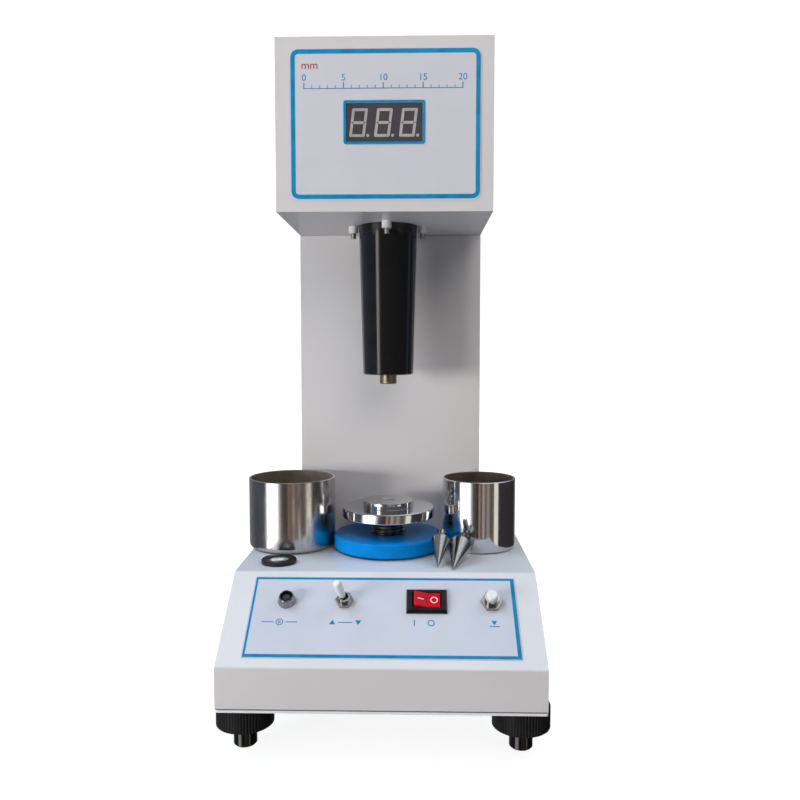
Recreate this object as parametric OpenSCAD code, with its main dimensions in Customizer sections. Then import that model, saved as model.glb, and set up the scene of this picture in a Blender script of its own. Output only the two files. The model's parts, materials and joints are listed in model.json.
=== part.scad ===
// Digital liquid and plastic limit tester for soil.
// Frame: X to the right, Y to the back, Z up, origin on the bench under the middle of the footprint.
// All sizes are in millimetres.

/* [Base box] */
// Width of the base box
base_w = 160; // [156:1:190]
// Depth of the base box
base_d = 196; // [190:1:230]
// Height of the upright front, from the bottom plate
base_front_h = 21.1; // [18:0.1:26]
// Height of the base box, from the bottom plate to its top
base_h = 55.1; // [52:0.1:70]
// Depth taken up by the sloping control face
slope_run = 44.9; // [43:0.1:46]
// Thickness of the painted sheet steel
sheet_t = 1.5; // [1.2:0.1:2]
// Width of the lips turned in along the lower edge
lip_w = 9; // [8:0.5:10]
// Bend relief along the lower edge
edge_relief = 0.7; // [0.4:0.1:1]
// Outside radius of the sheet bends
bend_r = 1.6; // [1:0.1:2.4]
// Thickness of the bottom plate
plate_t = 1.2; // [1:0.1:2]

/* [Levelling feet] */
// Height of the bottom plate above the bench
foot_clear = 25.1; // [24.6:0.1:30]
// Distance of a foot from the side of the base
foot_inset_x = 10.3; // [10:0.1:13]
// Distance of a foot from the front or back of the base
foot_inset_y = 20; // [17:0.5:26]
// Radius of the fluted knob
knob_r = 14.6; // [13:0.1:15]
// Height of the fluted knob
knob_h = 12.85; // [11.5:0.05:13]
// Number of flutes round a knob
knob_flutes = 60; // [48:1:66]
// Radius of the pad under the knob
pad_r = 5.9; // [5:0.1:8]
// Height of the pad
pad_h = 10.1; // [9:0.1:10.2]
// Radius of the foot thread
stud_r = 4; // [3:0.5:5]

/* [Column and head] */
// Width of the column and the head
head_w = 113.3; // [110:0.1:130]
// Height of the head
head_h = 89.1; // [88:0.1:110]
// Distance from the front of the base to the front of the head
head_setback = 48.2; // [40:0.1:52]
// Distance from the front of the base to the front of the column
column_setback = 129.9; // [129.6:0.1:134]
// Distance from the back of the column to the back of the base
column_inset = 6; // [4:0.5:10]
// Free height between the base top and the head
clear_h = 189.8; // [180:0.1:220]
// Width of the flanges that carry the rear cover
flange_w = 10; // [8:0.5:14]
// Thickness of the rear cover
cover_t = 1.2; // [1:0.1:2]

/* [Labels and display] */
// Thickness of the label films
label_t = 0.3; // [0.2:0.05:0.5]
// Width of the control label
control_label_w = 136.4; // [130:0.1:142]
// Height of the control label along the slope
control_label_h = 47.4; // [44:0.1:49]
// Width of the head label
head_label_w = 100; // [90:0.1:106]
// Height of the head label
head_label_h = 77.6; // [70:0.1:82]
// Corner radius of the head label
head_label_r = 4.6; // [2:0.1:8]
// Width of the digit module
module_w = 39.4; // [36:0.1:44]
// Height of the digit module
module_h = 19.4; // [17:0.1:22]
// Depth of the digit module
module_d = 8; // [6:0.5:10]
// Height of the display above the middle of the head
display_rise = 1; // [-2:0.1:4]

/* [Controls] */
// Distance of the row of controls up the slope
control_row = 37.6; // [36:0.1:39]
// Place of the contact lamp across the slope
lamp_x = -49.6; // [-52:0.1:-44]
// Place of the toggle switch across the slope
toggle_x = -19.9; // [-24:0.1:-14]
// Place of the rocker switch across the slope
rocker_x = 22.3; // [18:0.1:26]
// Place of the push button across the slope
button_x = 55.6; // [50:0.1:58]
// Radius of the lamp bezel at the panel
lamp_r = 4.65; // [4.4:0.05:5.5]
// Height of the lamp bezel
lamp_h = 4.4; // [3.5:0.1:6]
// Width over the flats of the toggle nut
toggle_nut_af = 8; // [7.5:0.1:9]
// Radius of the toggle bushing
toggle_bush_r = 2.95; // [2.8:0.05:3.2]
// Lean of the toggle lever from the panel's normal
toggle_lean = 11; // [8:0.5:12]
// Length of the rocker bezel
rocker_l = 20.8; // [20:0.1:23]
// Width of the rocker bezel
rocker_w = 14.1; // [13.6:0.1:16]
// Tilt of the rocker from level
rocker_tilt = 10; // [7:0.5:11]
// Width over the flats of the button nut
button_nut_af = 10; // [9:0.1:11]
// Radius of the button bushing
button_bush_r = 3.7; // [3.4:0.05:4]
// Radius of the button cap
button_cap_r = 2.9; // [2.2:0.05:2.95]
// Travel of the button
button_travel = 2; // [1:0.1:2.2]

/* [Spirit level] */
// Place of the level to the left of the middle
level_x = 59.5; // [54:0.1:64]
// Distance from the front of the base to the level
level_setback = 62.2; // [58:0.1:64]
// Radius of the level ring
level_r = 9.7; // [8:0.05:10]
// Radius of the level glass
level_glass_r = 5.75; // [5:0.05:7]
// Height of the level ring
level_h = 2.3; // [1.8:0.1:4]

/* [Lifting stage] */
// Distance from the front of the base to the stage axis
axis_setback = 97.2; // [95:0.1:97.4]
// Radius of the lifting wheel
wheel_r = 32.2; // [28:0.1:32.4]
// Height of the lifting wheel
wheel_h = 8.3; // [6:0.1:10]
// Height of the bush flange that the wheel turns on
bush_flange_h = 1; // [0.6:0.1:2]
// Outer radius of the lifting thread
screw_r = 10; // [8:0.5:11]
// Pitch of the lifting thread
screw_pitch = 2; // [1.5:0.5:2.5]
// Height of the stage underside above the base top
stage_rise = 19.1; // [18.5:0.1:24]
// Radius of the stage disc
stage_r = 27.4; // [24:0.1:30]
// Thickness of the stage disc
stage_t = 6; // [4:0.1:8]
// Radius of the raised seat on the stage
seat_r = 15.1; // [12:0.1:18]
// Height of the raised seat
seat_h = 3.9; // [2.5:0.1:6]

/* [Measuring head] */
// Length of the tapered cover tube below the head
tube_len = 86.2; // [80:0.1:92]
// Radius of the cover tube at the head
tube_top_r = 17; // [16:0.05:17.5]
// Radius of the cover tube at its lower end
tube_end_r = 14.75; // [13.5:0.05:15.5]
// Wall of the cover tube
tube_wall = 2; // [1.5:0.1:2.4]
// Radius of the brass tip on the measuring rod
tip_r = 5.05; // [4.5:0.05:5.5]
// Length of the brass tip that shows below the tube
tip_show = 5.6; // [4:0.1:8]
// Radius of the measuring rod
rod_r = 3; // [2.5:0.1:3.4]
// Fall of the measuring rod
rod_travel = 22; // [18:0.5:23]
// Radius of the ring of screws round the tube
boss_ring_r = 20.2; // [20:0.1:22]
// Radius of a screw boss
boss_r = 2.75; // [2.5:0.05:3]
// Height of a screw boss
boss_h = 4; // [3:0.1:5]

/* [Sample cups and cones] */
// Radius of the large sample cup
large_cup_r = 25.8; // [22:0.1:26.2]
// Radius of the small sample cup
small_cup_r = 21.8; // [18:0.1:24]
// Height of the sample cups
cup_h = 41.7; // [36:0.1:46]
// Wall of the sample cups
cup_wall = 1.3; // [1:0.1:2]
// Radius of the small cone
small_cone_r = 5.2; // [4.6:0.05:5.4]
// Radius of the large cone
large_cone_r = 6.6; // [6:0.05:6.8]
// Point angle of the cones
cone_angle = 30; // [28:1:32]

/* [Clearances] */
// Clearance of a running fit
run_gap = 0.06; // [0.02:0.01:0.1]
// Clearance of a part in its cut-out
fit_gap = 0.3; // [0.2:0.05:0.4]
// Clearance between loose parts that stand side by side
stand_gap = 0.45; // [0.3:0.05:0.8]
// Clearance between a knob and the bottom plate
knob_gap = 2.1; // [1.9:0.1:3]

/* [Hidden] */
$fn = 64;
eps = 0.01;

paint = "#d8d8d4";
film = "#e4e4ee";
steel = "#b9bcc0";
chrome = "#c8ccd2";
black = "#1d1f22";
blue = "#1276c4";
white = "#eceae6";
brass_tone = "#b08d4f";
board_green = "#2c5a3a";

// Inlet on the back wall
inlet_w = 27;
inlet_h = 19.6;
inlet_rim = 2.2;
inlet_rim_t = 2.4;
inlet_depth = 24;
inlet_x = 44;

// Levels above the bench
shell_z = foot_clear + plate_t;
slope_z = shell_z + base_front_h;
top_z = shell_z + base_h;
head_z = top_z + clear_h;
head_top_z = head_z + head_h;

// Places along Y
front_y = -(base_d + inlet_rim_t) / 2;
back_y = front_y + base_d;
axis_y = front_y + axis_setback;
head_y = front_y + head_setback;
column_y = front_y + column_setback;
column_back_y = back_y - column_inset;
slope_end_y = front_y + slope_run;

slope_rise = base_h - base_front_h;
slope_a = atan2(slope_rise, slope_run);
slope_len = norm([slope_run, slope_rise]);

// Bush, screw and wheel
bush_r = screw_r + 4;
bush_len = 26;
bush_flange_r = bush_r + 3;
thread_depth = 1.1;
screw_below = 34;
spigot_r = 6;
spigot_h = 3;

// Screws
m3_r = 1.5;
m3_head_r = 2.8;
m3_head_h = 1.9;
plate_screw_len = 6;
cover_screw_len = 6;

// Measuring mechanism, as heights above the underside of the head
floor_top = sheet_t;
mech_plate_t = 4;
mech_plate_w = 62;
mech_plate_d = 54;
mech_top = floor_top + mech_plate_t;
guide_r = 8;
guide_bore_r = rod_r + 1.5;
guide_low = -(tube_len - 16);
guide_top = mech_top + 16;
bush_h = 10;
tip_len = 16;
tip_low = -(tube_len + tip_show);
armature_t = 4;
armature_r = 9;
armature_low = guide_top + rod_travel + 2;
magnet_gap = 0.3;
magnet_low = armature_low + armature_t + magnet_gap;
magnet_h = 22;
magnet_r = 13;
bridge_t = 4;
strip_t = 1.5;
strip_w = 10;
strip_y = magnet_r + 2.5;
strip_low = mech_top + rod_travel + 2;
strip_h = 36;

// Sockets and pivots on the slope, as heights above the sheet
toggle_pivot_h = 0.6;
toggle_bush_h = 4.6;
toggle_ball_r = 1.9;
toggle_bore_r = 2.2;
toggle_pin_r = 0.6;
toggle_pin_l = 0.8;
lever_r = 1.2;
lever_len = 12.6;
sleeve_low = 4.9;
sleeve_len = 11.4;
sleeve_r0 = 1.7;
sleeve_r1 = 2.4;
sleeve_r2 = 2.15;
nut_h = 2;
bezel_h = 2;
bezel_slant = 1.1;
rocker_pivot_h = label_t + bezel_h - 1.5;
rocker_half = rocker_l / 2 - 3.6;
rocker_thick = rocker_w - 5.8;
rocker_room_l = rocker_l - 6;
rocker_room_w = rocker_w - 5.2;
rocker_pin_r = 1;
rocker_pin_l = 1.2;
rocker_body_d = 17;
button_bush_h = 5;
button_cap_h = 7.6;
lamp_bore_r = 2.95;

// Cups stand beside the wheel, clear of the column
column_room = column_setback - axis_setback;
large_cup_dy = column_room - large_cup_r - stand_gap - 1.25;
small_cup_dy = column_room - small_cup_r - stand_gap - 5.35;
large_cup_x = -sqrt(pow(wheel_r + large_cup_r + stand_gap, 2) - pow(large_cup_dy, 2));
small_cup_x = sqrt(pow(wheel_r + small_cup_r + stand_gap, 2) - pow(small_cup_dy, 2));

// The large cone leans on the small cup, the small cone leans on the large one
cone_tan = tan(cone_angle / 2);
large_lean = 18;
small_lean = 36;
large_heading = 12.5;
small_heading = 7.4;
// How far to the left of the cup's middle the large cone's stud touches it
stud_aside = 5.6;
large_body = large_cone_r / cone_tan;
small_body = small_cone_r / cone_tan;
large_back = 6;
small_back = 3.4;
large_stud = 6;
small_stud = 3.6;
cone_stud_r = 2.1;
tip_lift = 0.05;
large_len = large_body + large_back + large_stud;
large_reach = large_len * cos(large_lean) + cone_stud_r * sin(large_lean);
heading = [sin(large_heading), cos(large_heading)];
aside = [cos(large_heading), -sin(large_heading)];
cone_turn = large_heading - small_heading;
small_cup_at = [small_cup_x, axis_y + small_cup_dy];
cup_reach = sqrt(pow(small_cup_r + fit_gap, 2) - pow(stud_aside - cone_stud_r, 2));
large_tip = small_cup_at - heading * (cup_reach + large_reach) - aside * stud_aside;
// Station of the small cone's shoulder along the heading, and the large cone beside it
tip_lead = 2.5;
// Room for the slant of the small cone's shoulder
cone_side_room = 0.8;
small_run = small_body * cos(small_lean);
shoulder_at = small_run * cos(cone_turn) + tip_lead;
beside_r = shoulder_at / cos(large_lean) * cone_tan / cos(large_lean - cone_angle / 2);
beside_dz = small_body * sin(small_lean) - shoulder_at * tan(large_lean);
shoulder_reach = small_cone_r + beside_r + stand_gap;
cone_apart = sqrt(pow(shoulder_reach, 2) - pow(beside_dz, 2)) + cone_side_room - small_run * sin(cone_turn);
small_tip = large_tip + heading * tip_lead - aside * cone_apart;

// Round off one corner of an outline with an arc of radius r
function unit(v) = v / norm(v);
function corner_arc(before, at, after, r, steps = 6) =
    let (u = unit(before - at))
    let (v = unit(after - at))
    let (half = acos(u * v) / 2)
    let (middle = at + unit(u + v) * r / sin(half))
    let (first = at + u * r / tan(half) - middle)
    let (turn = (180 - 2 * half) * sign(u.x * v.y - u.y * v.x))
    [for (i = [0 : steps])
        let (a = -turn * i / steps)
        middle + [first.x * cos(a) - first.y * sin(a), first.x * sin(a) + first.y * cos(a)]];

// Extrude a side outline, drawn in Y and Z, across a width centred on X = 0
module side_extrude(width) {
    rotate([90, 0, 90]) linear_extrude(width, center = true) children();
}

// Place children on the sloping face: X across, Y up the slope, Z out of it
module on_slope(x, s) {
    translate([x, front_y, slope_z]) rotate([slope_a, 0, 0]) translate([0, s, 0]) children();
}

module on_axis(h = 0) {
    translate([0, axis_y, h]) children();
}

module round_rect(w, h, r) {
    square([w - 2 * r, h], center = true);
    square([w, h - 2 * r], center = true);
    for (x = [-1, 1], y = [-1, 1]) {
        translate([x * (w / 2 - r), y * (h / 2 - r)]) circle(r);
    }
}

module block(w, d, h) {
    translate([-w / 2, -d / 2, 0]) cube([w, d, h]);
}

module ring(r, bore, h) {
    difference() {
        cylinder(r = r, h = h);
        translate([0, 0, -eps]) cylinder(r = bore, h = h + 2 * eps);
    }
}

// Hexagon nut with its top corners turned off
module hex_nut(af, bore, h) {
    corner = af / 2 / cos(30);
    difference() {
        intersection() {
            cylinder(r = corner, h = h, $fn = 6);
            cylinder(r1 = corner + h, r2 = af / 2 * 0.97, h = h + corner - af / 2 * 0.97 + eps);
        }
        translate([0, 0, -eps]) cylinder(r = bore, h = h + 2 * eps);
    }
}

// Pan head screw: the head stands on Z = 0 and the shank hangs below
module pan_screw(len) {
    difference() {
        union() {
            rotate_extrude() polygon([[0, 0], [m3_head_r, 0], [m3_head_r, m3_head_h * 0.5],
                [m3_head_r * 0.75, m3_head_h], [0, m3_head_h]]);
            translate([0, 0, -len]) cylinder(r = m3_r, h = len + eps);
        }
        for (a = [0, 90]) rotate(a) translate([-1.6, -0.35, m3_head_h - 1]) cube([3.2, 0.7, 1.1]);
    }
}

module at_feet() {
    for (x = [-1, 1], y = [0, 1]) {
        translate([x * (base_w / 2 - foot_inset_x), foot_y(y), 0]) children();
    }
}

function foot_y(rear) = rear == 0 ? front_y + foot_inset_y : back_y - foot_inset_y;

module at_plate_screws() {
    for (x = [-1, 1], y = [0.3, 0.7]) {
        translate([x * (base_w / 2 - sheet_t - lip_w / 2), front_y + base_d * y, 0]) children();
    }
    translate([0, front_y + sheet_t + lip_w / 2, 0]) children();
    translate([0, back_y - sheet_t - lip_w / 2, 0]) children();
}

module at_cover_screws() {
    span = head_top_z - top_z;
    for (x = [-1, 1], k = [0.06, 0.36, 0.66, 0.95]) {
        translate([x * (head_w / 2 - sheet_t - flange_w / 2), column_back_y, top_z + span * k]) children();
    }
}

module at_bosses() {
    for (a = [0 : 90 : 270]) {
        on_axis() rotate(a) translate([boss_ring_r, 0, 0]) children();
    }
}

// Base box

nut_r = stud_r + 2.6;
nut_tall = 6.5;

function base_outline() = concat(
    [[edge_relief, 0], [0, edge_relief]],
    corner_arc([0, edge_relief], [0, base_front_h], [slope_run, base_h], bend_r),
    corner_arc([0, base_front_h], [slope_run, base_h], [base_d, base_h], bend_r),
    corner_arc([slope_run, base_h], [base_d, base_h], [base_d, edge_relief], bend_r),
    [[base_d, edge_relief], [base_d - edge_relief, 0]]);

function base_inside() =
    let (drop = sheet_t / cos(slope_a))
    let (low = base_front_h + sheet_t * tan(slope_a) - drop)
    let (far = (slope_rise - sheet_t + drop) / tan(slope_a))
    [[sheet_t, sheet_t], [sheet_t, low], [far, base_h - sheet_t], [base_d - sheet_t, base_h - sheet_t],
        [base_d - sheet_t, sheet_t]];

module base_shell() {
    inner_w = base_w - 2 * sheet_t;
    color(paint) difference() {
        translate([0, front_y, shell_z]) difference() {
            side_extrude(base_w) polygon(base_outline());
            side_extrude(inner_w) polygon(base_inside());
            translate([-inner_w / 2 + lip_w, sheet_t + lip_w, -eps])
                cube([inner_w - 2 * lip_w, base_d - 2 * sheet_t - 2 * lip_w, sheet_t + 2 * eps]);
            for (x = [-1, 1]) {
                translate([x * base_w / 2, base_d / 2, 0]) rotate([0, 45, 0])
                    cube([edge_relief * sqrt(2), base_d + 2, edge_relief * sqrt(2)], center = true);
            }
        }
        on_axis(top_z - sheet_t - 1) cylinder(r = bush_r + run_gap, h = sheet_t + 2);
        translate([0, column_y + 20, top_z - sheet_t - 1]) cylinder(r = 8, h = sheet_t + 2);
        at_feet() translate([0, 0, shell_z - 1]) cylinder(r = nut_r + 1.6, h = sheet_t + 2);
        at_plate_screws() translate([0, 0, shell_z - 1]) cylinder(r = m3_r, h = sheet_t + 2);
        slope_holes(-sheet_t - 2);
        translate([inlet_x - inlet_w / 2 - fit_gap / 2, back_y - sheet_t - 1, inlet_z - inlet_h / 2 - fit_gap / 2])
            cube([inlet_w + fit_gap, sheet_t + 2, inlet_h + fit_gap]);
    }
}

inlet_z = shell_z + base_h / 2 + 2;

// Cut-outs for the controls, from a depth under the sheet to above the label
module slope_holes(low) {
    high = label_t + 1 - low;
    on_slope(lamp_x, control_row) translate([0, 0, low]) cylinder(r = lamp_r - 0.75, h = high);
    on_slope(toggle_x, control_row) translate([0, 0, low]) cylinder(r = toggle_bush_r + fit_gap / 2, h = high);
    on_slope(rocker_x, control_row) translate([0, 0, low])
        block(rocker_l - 2 + fit_gap, rocker_w - 1.5 + fit_gap, high);
    on_slope(button_x, control_row) translate([0, 0, low]) cylinder(r = button_bush_r + fit_gap / 2, h = high);
}

module base_plate() {
    color(paint) difference() {
        union() {
            translate([0, front_y + base_d / 2, foot_clear]) linear_extrude(plate_t)
                round_rect(base_w, base_d, 1);
            at_board_studs() cylinder(r = 2.4, h = board_lift + plate_t - eps);
        }
        at_feet() translate([0, 0, foot_clear - 1]) cylinder(r = stud_r + fit_gap, h = plate_t + 2);
        at_plate_screws() translate([0, 0, foot_clear - 1]) cylinder(r = m3_r + 0.1, h = plate_t + 2);
    }
}

module base_plate_screws() {
    color(steel) at_plate_screws() translate([0, 0, foot_clear]) mirror([0, 0, 1]) pan_screw(plate_screw_len);
}

module foot_nuts() {
    color(steel) at_feet() translate([0, 0, shell_z]) hex_nut(2 * nut_r * cos(30), stud_r + run_gap, nut_tall);
}

// Levelling feet

module foot_knob(x, rear) {
    low = pad_h + 0.05;
    spigot_room = 5;
    translate([x * (base_w / 2 - foot_inset_x), foot_y(rear), 0]) {
        color(black) difference() {
            rotate_extrude() polygon([[0, low], [knob_r - 4, low], [knob_r, low + 1.3],
                [knob_r, low + knob_h - 0.8], [knob_r - 0.8, low + knob_h], [0, low + knob_h]]);
            translate([0, 0, low - eps]) cylinder(r = spigot_bore_r, h = spigot_room);
            for (i = [0 : knob_flutes - 1]) {
                rotate(i * 360 / knob_flutes) translate([knob_r + 0.2, 0, low - 1])
                    cylinder(r = 0.55, h = knob_h + 2);
            }
        }
        color(steel) translate([0, 0, low + knob_h - eps]) cylinder(r = stud_r, h = knob_gap + plate_t + nut_tall + 5);
    }
}

spigot_bore_r = 2.5 + run_gap;

module foot_pad(x, rear) {
    color(black) translate([x * (base_w / 2 - foot_inset_x), foot_y(rear), 0]) {
        rotate_extrude() polygon([[0, 0], [pad_r - 0.8, 0], [pad_r, 0.8], [pad_r, pad_h - 0.4],
            [pad_r - 0.4, pad_h], [2.5, pad_h], [2.5, pad_h + 4.5], [0, pad_h + 4.5]]);
    }
}

// Column, head and rear cover

module column_shell() {
    depth = column_back_y - column_y;
    inner_w = head_w - 2 * sheet_t;
    color(paint) difference() {
        translate([0, column_y + depth / 2, top_z]) block(head_w, depth, clear_h);
        translate([0, column_y + depth / 2, top_z + sheet_t]) block(inner_w, depth - 2 * sheet_t, clear_h);
        translate([0, column_y + depth / 2, top_z - 1])
            block(inner_w - 2 * flange_w, depth - 2 * sheet_t - 2 * flange_w, sheet_t + 2);
        translate([0, column_back_y, top_z + sheet_t + flange_w]) block(inner_w - 2 * flange_w, 8, clear_h);
        at_cover_screws() rotate([90, 0, 0]) translate([0, 0, -1]) cylinder(r = m3_r, h = sheet_t + 2);
    }
}

module head_shell() {
    depth = column_back_y - head_y;
    inner_w = head_w - 2 * sheet_t;
    well_d = column_back_y - column_y - 2 * sheet_t;
    color(paint) difference() {
        union() {
            translate([0, head_y + depth / 2, head_z]) block(head_w, depth, head_h);
            at_bosses() translate([0, 0, head_z - boss_h]) cylinder(r = boss_r, h = boss_h + eps);
        }
        translate([0, head_y + depth / 2, head_z + sheet_t])
            block(inner_w, depth - 2 * sheet_t, head_h - 2 * sheet_t);
        translate([0, column_y + sheet_t + well_d / 2, head_z - 1]) block(inner_w, well_d, sheet_t + 2);
        translate([0, column_back_y, head_z - 1])
            block(inner_w - 2 * flange_w, 8, head_h - sheet_t - flange_w);
        translate([0, head_y, display_z - module_h / 2 - fit_gap / 2])
            block(module_w + fit_gap, 8, module_h + fit_gap);
        on_axis(head_z - 1) cylinder(r = tube_top_r + fit_gap, h = sheet_t + 2);
        at_bosses() translate([0, 0, head_z - boss_h - 1]) cylinder(r = m3_r + run_gap, h = boss_h + sheet_t + 2);
        at_cover_screws() rotate([90, 0, 0]) translate([0, 0, -1]) cylinder(r = m3_r, h = sheet_t + 2);
    }
}

display_z = head_z + head_h / 2 + display_rise;

// Width of the display board beside the module
display_board_edge = 13;

module rear_cover() {
    margin = 1;
    color(paint) difference() {
        translate([0, column_back_y, (top_z + head_top_z) / 2]) rotate([-90, 0, 0]) linear_extrude(cover_t)
            round_rect(head_w - 2 * margin, head_top_z - top_z - 2 * margin, 2);
        at_cover_screws() rotate([-90, 0, 0]) translate([0, 0, -1]) cylinder(r = m3_r + 0.1, h = cover_t + 2);
    }
}

module rear_cover_screws() {
    color(steel) at_cover_screws() translate([0, cover_t, 0]) rotate([-90, 0, 0]) pan_screw(cover_screw_len);
}

// Labels and display

module control_label() {
    color(film) difference() {
        on_slope(0, slope_len / 2 + 0.7) linear_extrude(label_t) round_rect(control_label_w, control_label_h, 1);
        slope_holes(-1);
    }
}

module head_label() {
    color(film) difference() {
        translate([0, head_y, head_z + head_h / 2]) rotate([90, 0, 0]) linear_extrude(label_t)
            round_rect(head_label_w, head_label_h, head_label_r);
        translate([0, head_y, display_z - module_h / 2 - fit_gap / 2])
            block(module_w + fit_gap, 8, module_h + fit_gap);
    }
}

module display_module() {
    color(black) translate([0, head_y + module_d / 2 - label_t, display_z - module_h / 2])
        block(module_w, module_d, module_h);
}

module display_board() {
    board_w = module_w + 2 * display_board_edge;
    board_h = module_h + 1.4 * display_board_edge;
    color(board_green) translate([0, head_y + module_d - label_t + 0.8, display_z - board_h / 2])
        block(board_w, 1.6, board_h);
}

// Controls on the slope

module lamp_bezel() {
    color(chrome) on_slope(lamp_x, control_row) rotate_extrude() polygon([[lamp_bore_r, -9],
        [lamp_r - 1, -9], [lamp_r - 1, label_t], [lamp_r, label_t], [lamp_r, label_t + 0.7],
        [lamp_r - 1, label_t + lamp_h - 0.3], [lamp_r - 1.3, label_t + lamp_h],
        [lamp_bore_r + 0.15, label_t + lamp_h], [lamp_bore_r, label_t + lamp_h - 0.6]]);
}

module lamp_lens() {
    dome = lamp_bore_r - run_gap;
    color("#2b2f33") on_slope(lamp_x, control_row) {
        translate([0, 0, -8]) cylinder(r = dome, h = 8 + label_t + 1.2);
        translate([0, 0, label_t + 1.2]) intersection() {
            sphere(r = dome);
            cylinder(r = dome + 1, h = dome + 1);
        }
    }
}

module toggle_body() {
    color(steel) on_slope(toggle_x, control_row) difference() {
        union() {
            translate([0, 0, -sheet_t - 11]) block(13, 8, 11);
            translate([0, 0, -sheet_t - eps]) cylinder(r = toggle_bush_r, h = sheet_t + toggle_bush_h);
        }
        translate([0, 0, toggle_pivot_h - toggle_ball_r - fit_gap]) cylinder(r = toggle_bore_r, h = 12);
        translate([0, 0, toggle_pivot_h]) rotate([90, 0, 0])
            cylinder(r = toggle_pin_r + run_gap, h = 2 * toggle_bore_r + toggle_pin_l + fit_gap, center = true);
    }
}

module toggle_nut() {
    color(chrome) on_slope(toggle_x, control_row) translate([0, 0, label_t])
        hex_nut(toggle_nut_af, toggle_bush_r + run_gap, nut_h);
}

module on_lever() {
    on_slope(toggle_x, control_row) translate([0, 0, toggle_pivot_h]) rotate([0, -toggle_lean, 0]) children();
}

module toggle_lever() {
    color(chrome) on_lever() {
        sphere(r = toggle_ball_r);
        cylinder(r = lever_r, h = lever_len);
        rotate([90, 0, 0]) cylinder(r = toggle_pin_r, h = 2 * toggle_bore_r + toggle_pin_l, center = true);
    }
}

module toggle_sleeve() {
    cap = 1.6;
    color(white) on_lever() rotate_extrude() polygon(concat(
        [[lever_r, sleeve_low], [sleeve_r0, sleeve_low], [sleeve_r1, sleeve_low + sleeve_len * 0.6],
            [sleeve_r2, sleeve_low + sleeve_len - cap]],
        [for (a = [15 : 15 : 90]) [sleeve_r2 - cap + cap * cos(a), sleeve_low + sleeve_len - cap + cap * sin(a)]],
        [[0, sleeve_low + sleeve_len], [0, lever_len], [lever_r, lever_len]]));
}

// Bezel with four slanted sides, as the crossing of two trapezoid bars
module slanted_block(l, w, h, slant) {
    intersection() {
        rotate([90, 0, 0]) linear_extrude(w + 2, center = true) trapezoid(l, h, slant);
        rotate([90, 0, 90]) linear_extrude(l + 2, center = true) trapezoid(w, h, slant);
    }
}

module trapezoid(l, h, slant) {
    polygon([[-l / 2, 0], [l / 2, 0], [l / 2, h * 0.35], [l / 2 - slant, h], [slant - l / 2, h], [-l / 2, h * 0.35]]);
}

module rocker_housing() {
    room_low = -9;
    color(black) on_slope(rocker_x, control_row) difference() {
        union() {
            translate([0, 0, label_t]) slanted_block(rocker_l, rocker_w, bezel_h, bezel_slant);
            translate([0, 0, -rocker_body_d]) block(rocker_l - 2, rocker_w - 1.5, rocker_body_d + label_t + eps);
        }
        translate([0, 0, room_low]) block(rocker_room_l, rocker_room_w, 20);
        translate([0, 0, rocker_pivot_h]) rotate([90, 0, 0])
            cylinder(r = rocker_pin_r + run_gap, h = rocker_thick + 2 * rocker_pin_l + fit_gap, center = true);
    }
}

module rocker() {
    crown = 1.2;
    tip_rise = crown + rocker_half * tan(rocker_tilt);
    keel = -5;
    color("#d02028") on_slope(rocker_x, control_row) translate([0, 0, rocker_pivot_h]) rotate([0, rocker_tilt, 0])
        rotate([90, 0, 0]) {
            linear_extrude(rocker_thick, center = true) polygon([[0, crown], [rocker_half - 0.4, tip_rise],
                [rocker_half, tip_rise - 0.4], [rocker_half, 0], [2.5, keel], [-2.5, keel], [-rocker_half, 0],
                [-rocker_half, tip_rise - 0.4], [0.4 - rocker_half, tip_rise]]);
            cylinder(r = rocker_pin_r, h = rocker_thick + 2 * rocker_pin_l, center = true);
        }
}

module button_body() {
    color(chrome) on_slope(button_x, control_row) difference() {
        union() {
            translate([0, 0, -sheet_t - 12]) cylinder(r = button_bush_r + 1.5, h = 12);
            translate([0, 0, -sheet_t - eps]) cylinder(r = button_bush_r, h = sheet_t + button_bush_h);
        }
        translate([0, 0, -8]) cylinder(r = button_cap_r + run_gap, h = 20);
    }
}

module button_nut() {
    color(chrome) on_slope(button_x, control_row) translate([0, 0, label_t])
        hex_nut(button_nut_af, button_bush_r + run_gap, nut_h);
}

module button_cap() {
    color(white) on_slope(button_x, control_row) rotate_extrude() polygon([[0, button_travel - 7.5],
        [button_cap_r, button_travel - 7.5], [button_cap_r, button_cap_h - 0.7],
        [button_cap_r - 0.2, button_cap_h - 0.3], [button_cap_r - 0.7, button_cap_h], [0, button_cap_h]]);
}

// Spirit level

module at_level() {
    translate([-level_x, front_y + level_setback, top_z]) children();
}

module level_ring() {
    color(black) at_level() rotate_extrude() polygon([[level_glass_r, 0], [level_r, 0], [level_r, level_h - 0.5],
        [level_r - 0.5, level_h], [level_glass_r + 0.3, level_h], [level_glass_r, level_h - 0.3]]);
}

module level_vial() {
    color("#dfe6d8") at_level() cylinder(r = level_glass_r - run_gap, h = level_h - 0.7);
}

// Lifting stage

module lift_bush() {
    color(steel) on_axis(top_z) difference() {
        union() {
            cylinder(r = bush_flange_r, h = bush_flange_h);
            translate([0, 0, -bush_len]) cylinder(r = bush_r, h = bush_len + eps);
        }
        translate([0, 0, -bush_len - 1]) cylinder(r = screw_r + run_gap, h = bush_len + bush_flange_h + 2);
    }
}

module lift_wheel() {
    bore = screw_r + run_gap;
    soft = 0.8;
    color(blue) on_axis(top_z + bush_flange_h) rotate_extrude() polygon([[bore, 0], [wheel_r - soft, 0],
        [wheel_r, soft], [wheel_r, wheel_h - soft], [wheel_r - soft, wheel_h], [bore + 0.5, wheel_h],
        [bore, wheel_h - 0.5]]);
}

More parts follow.
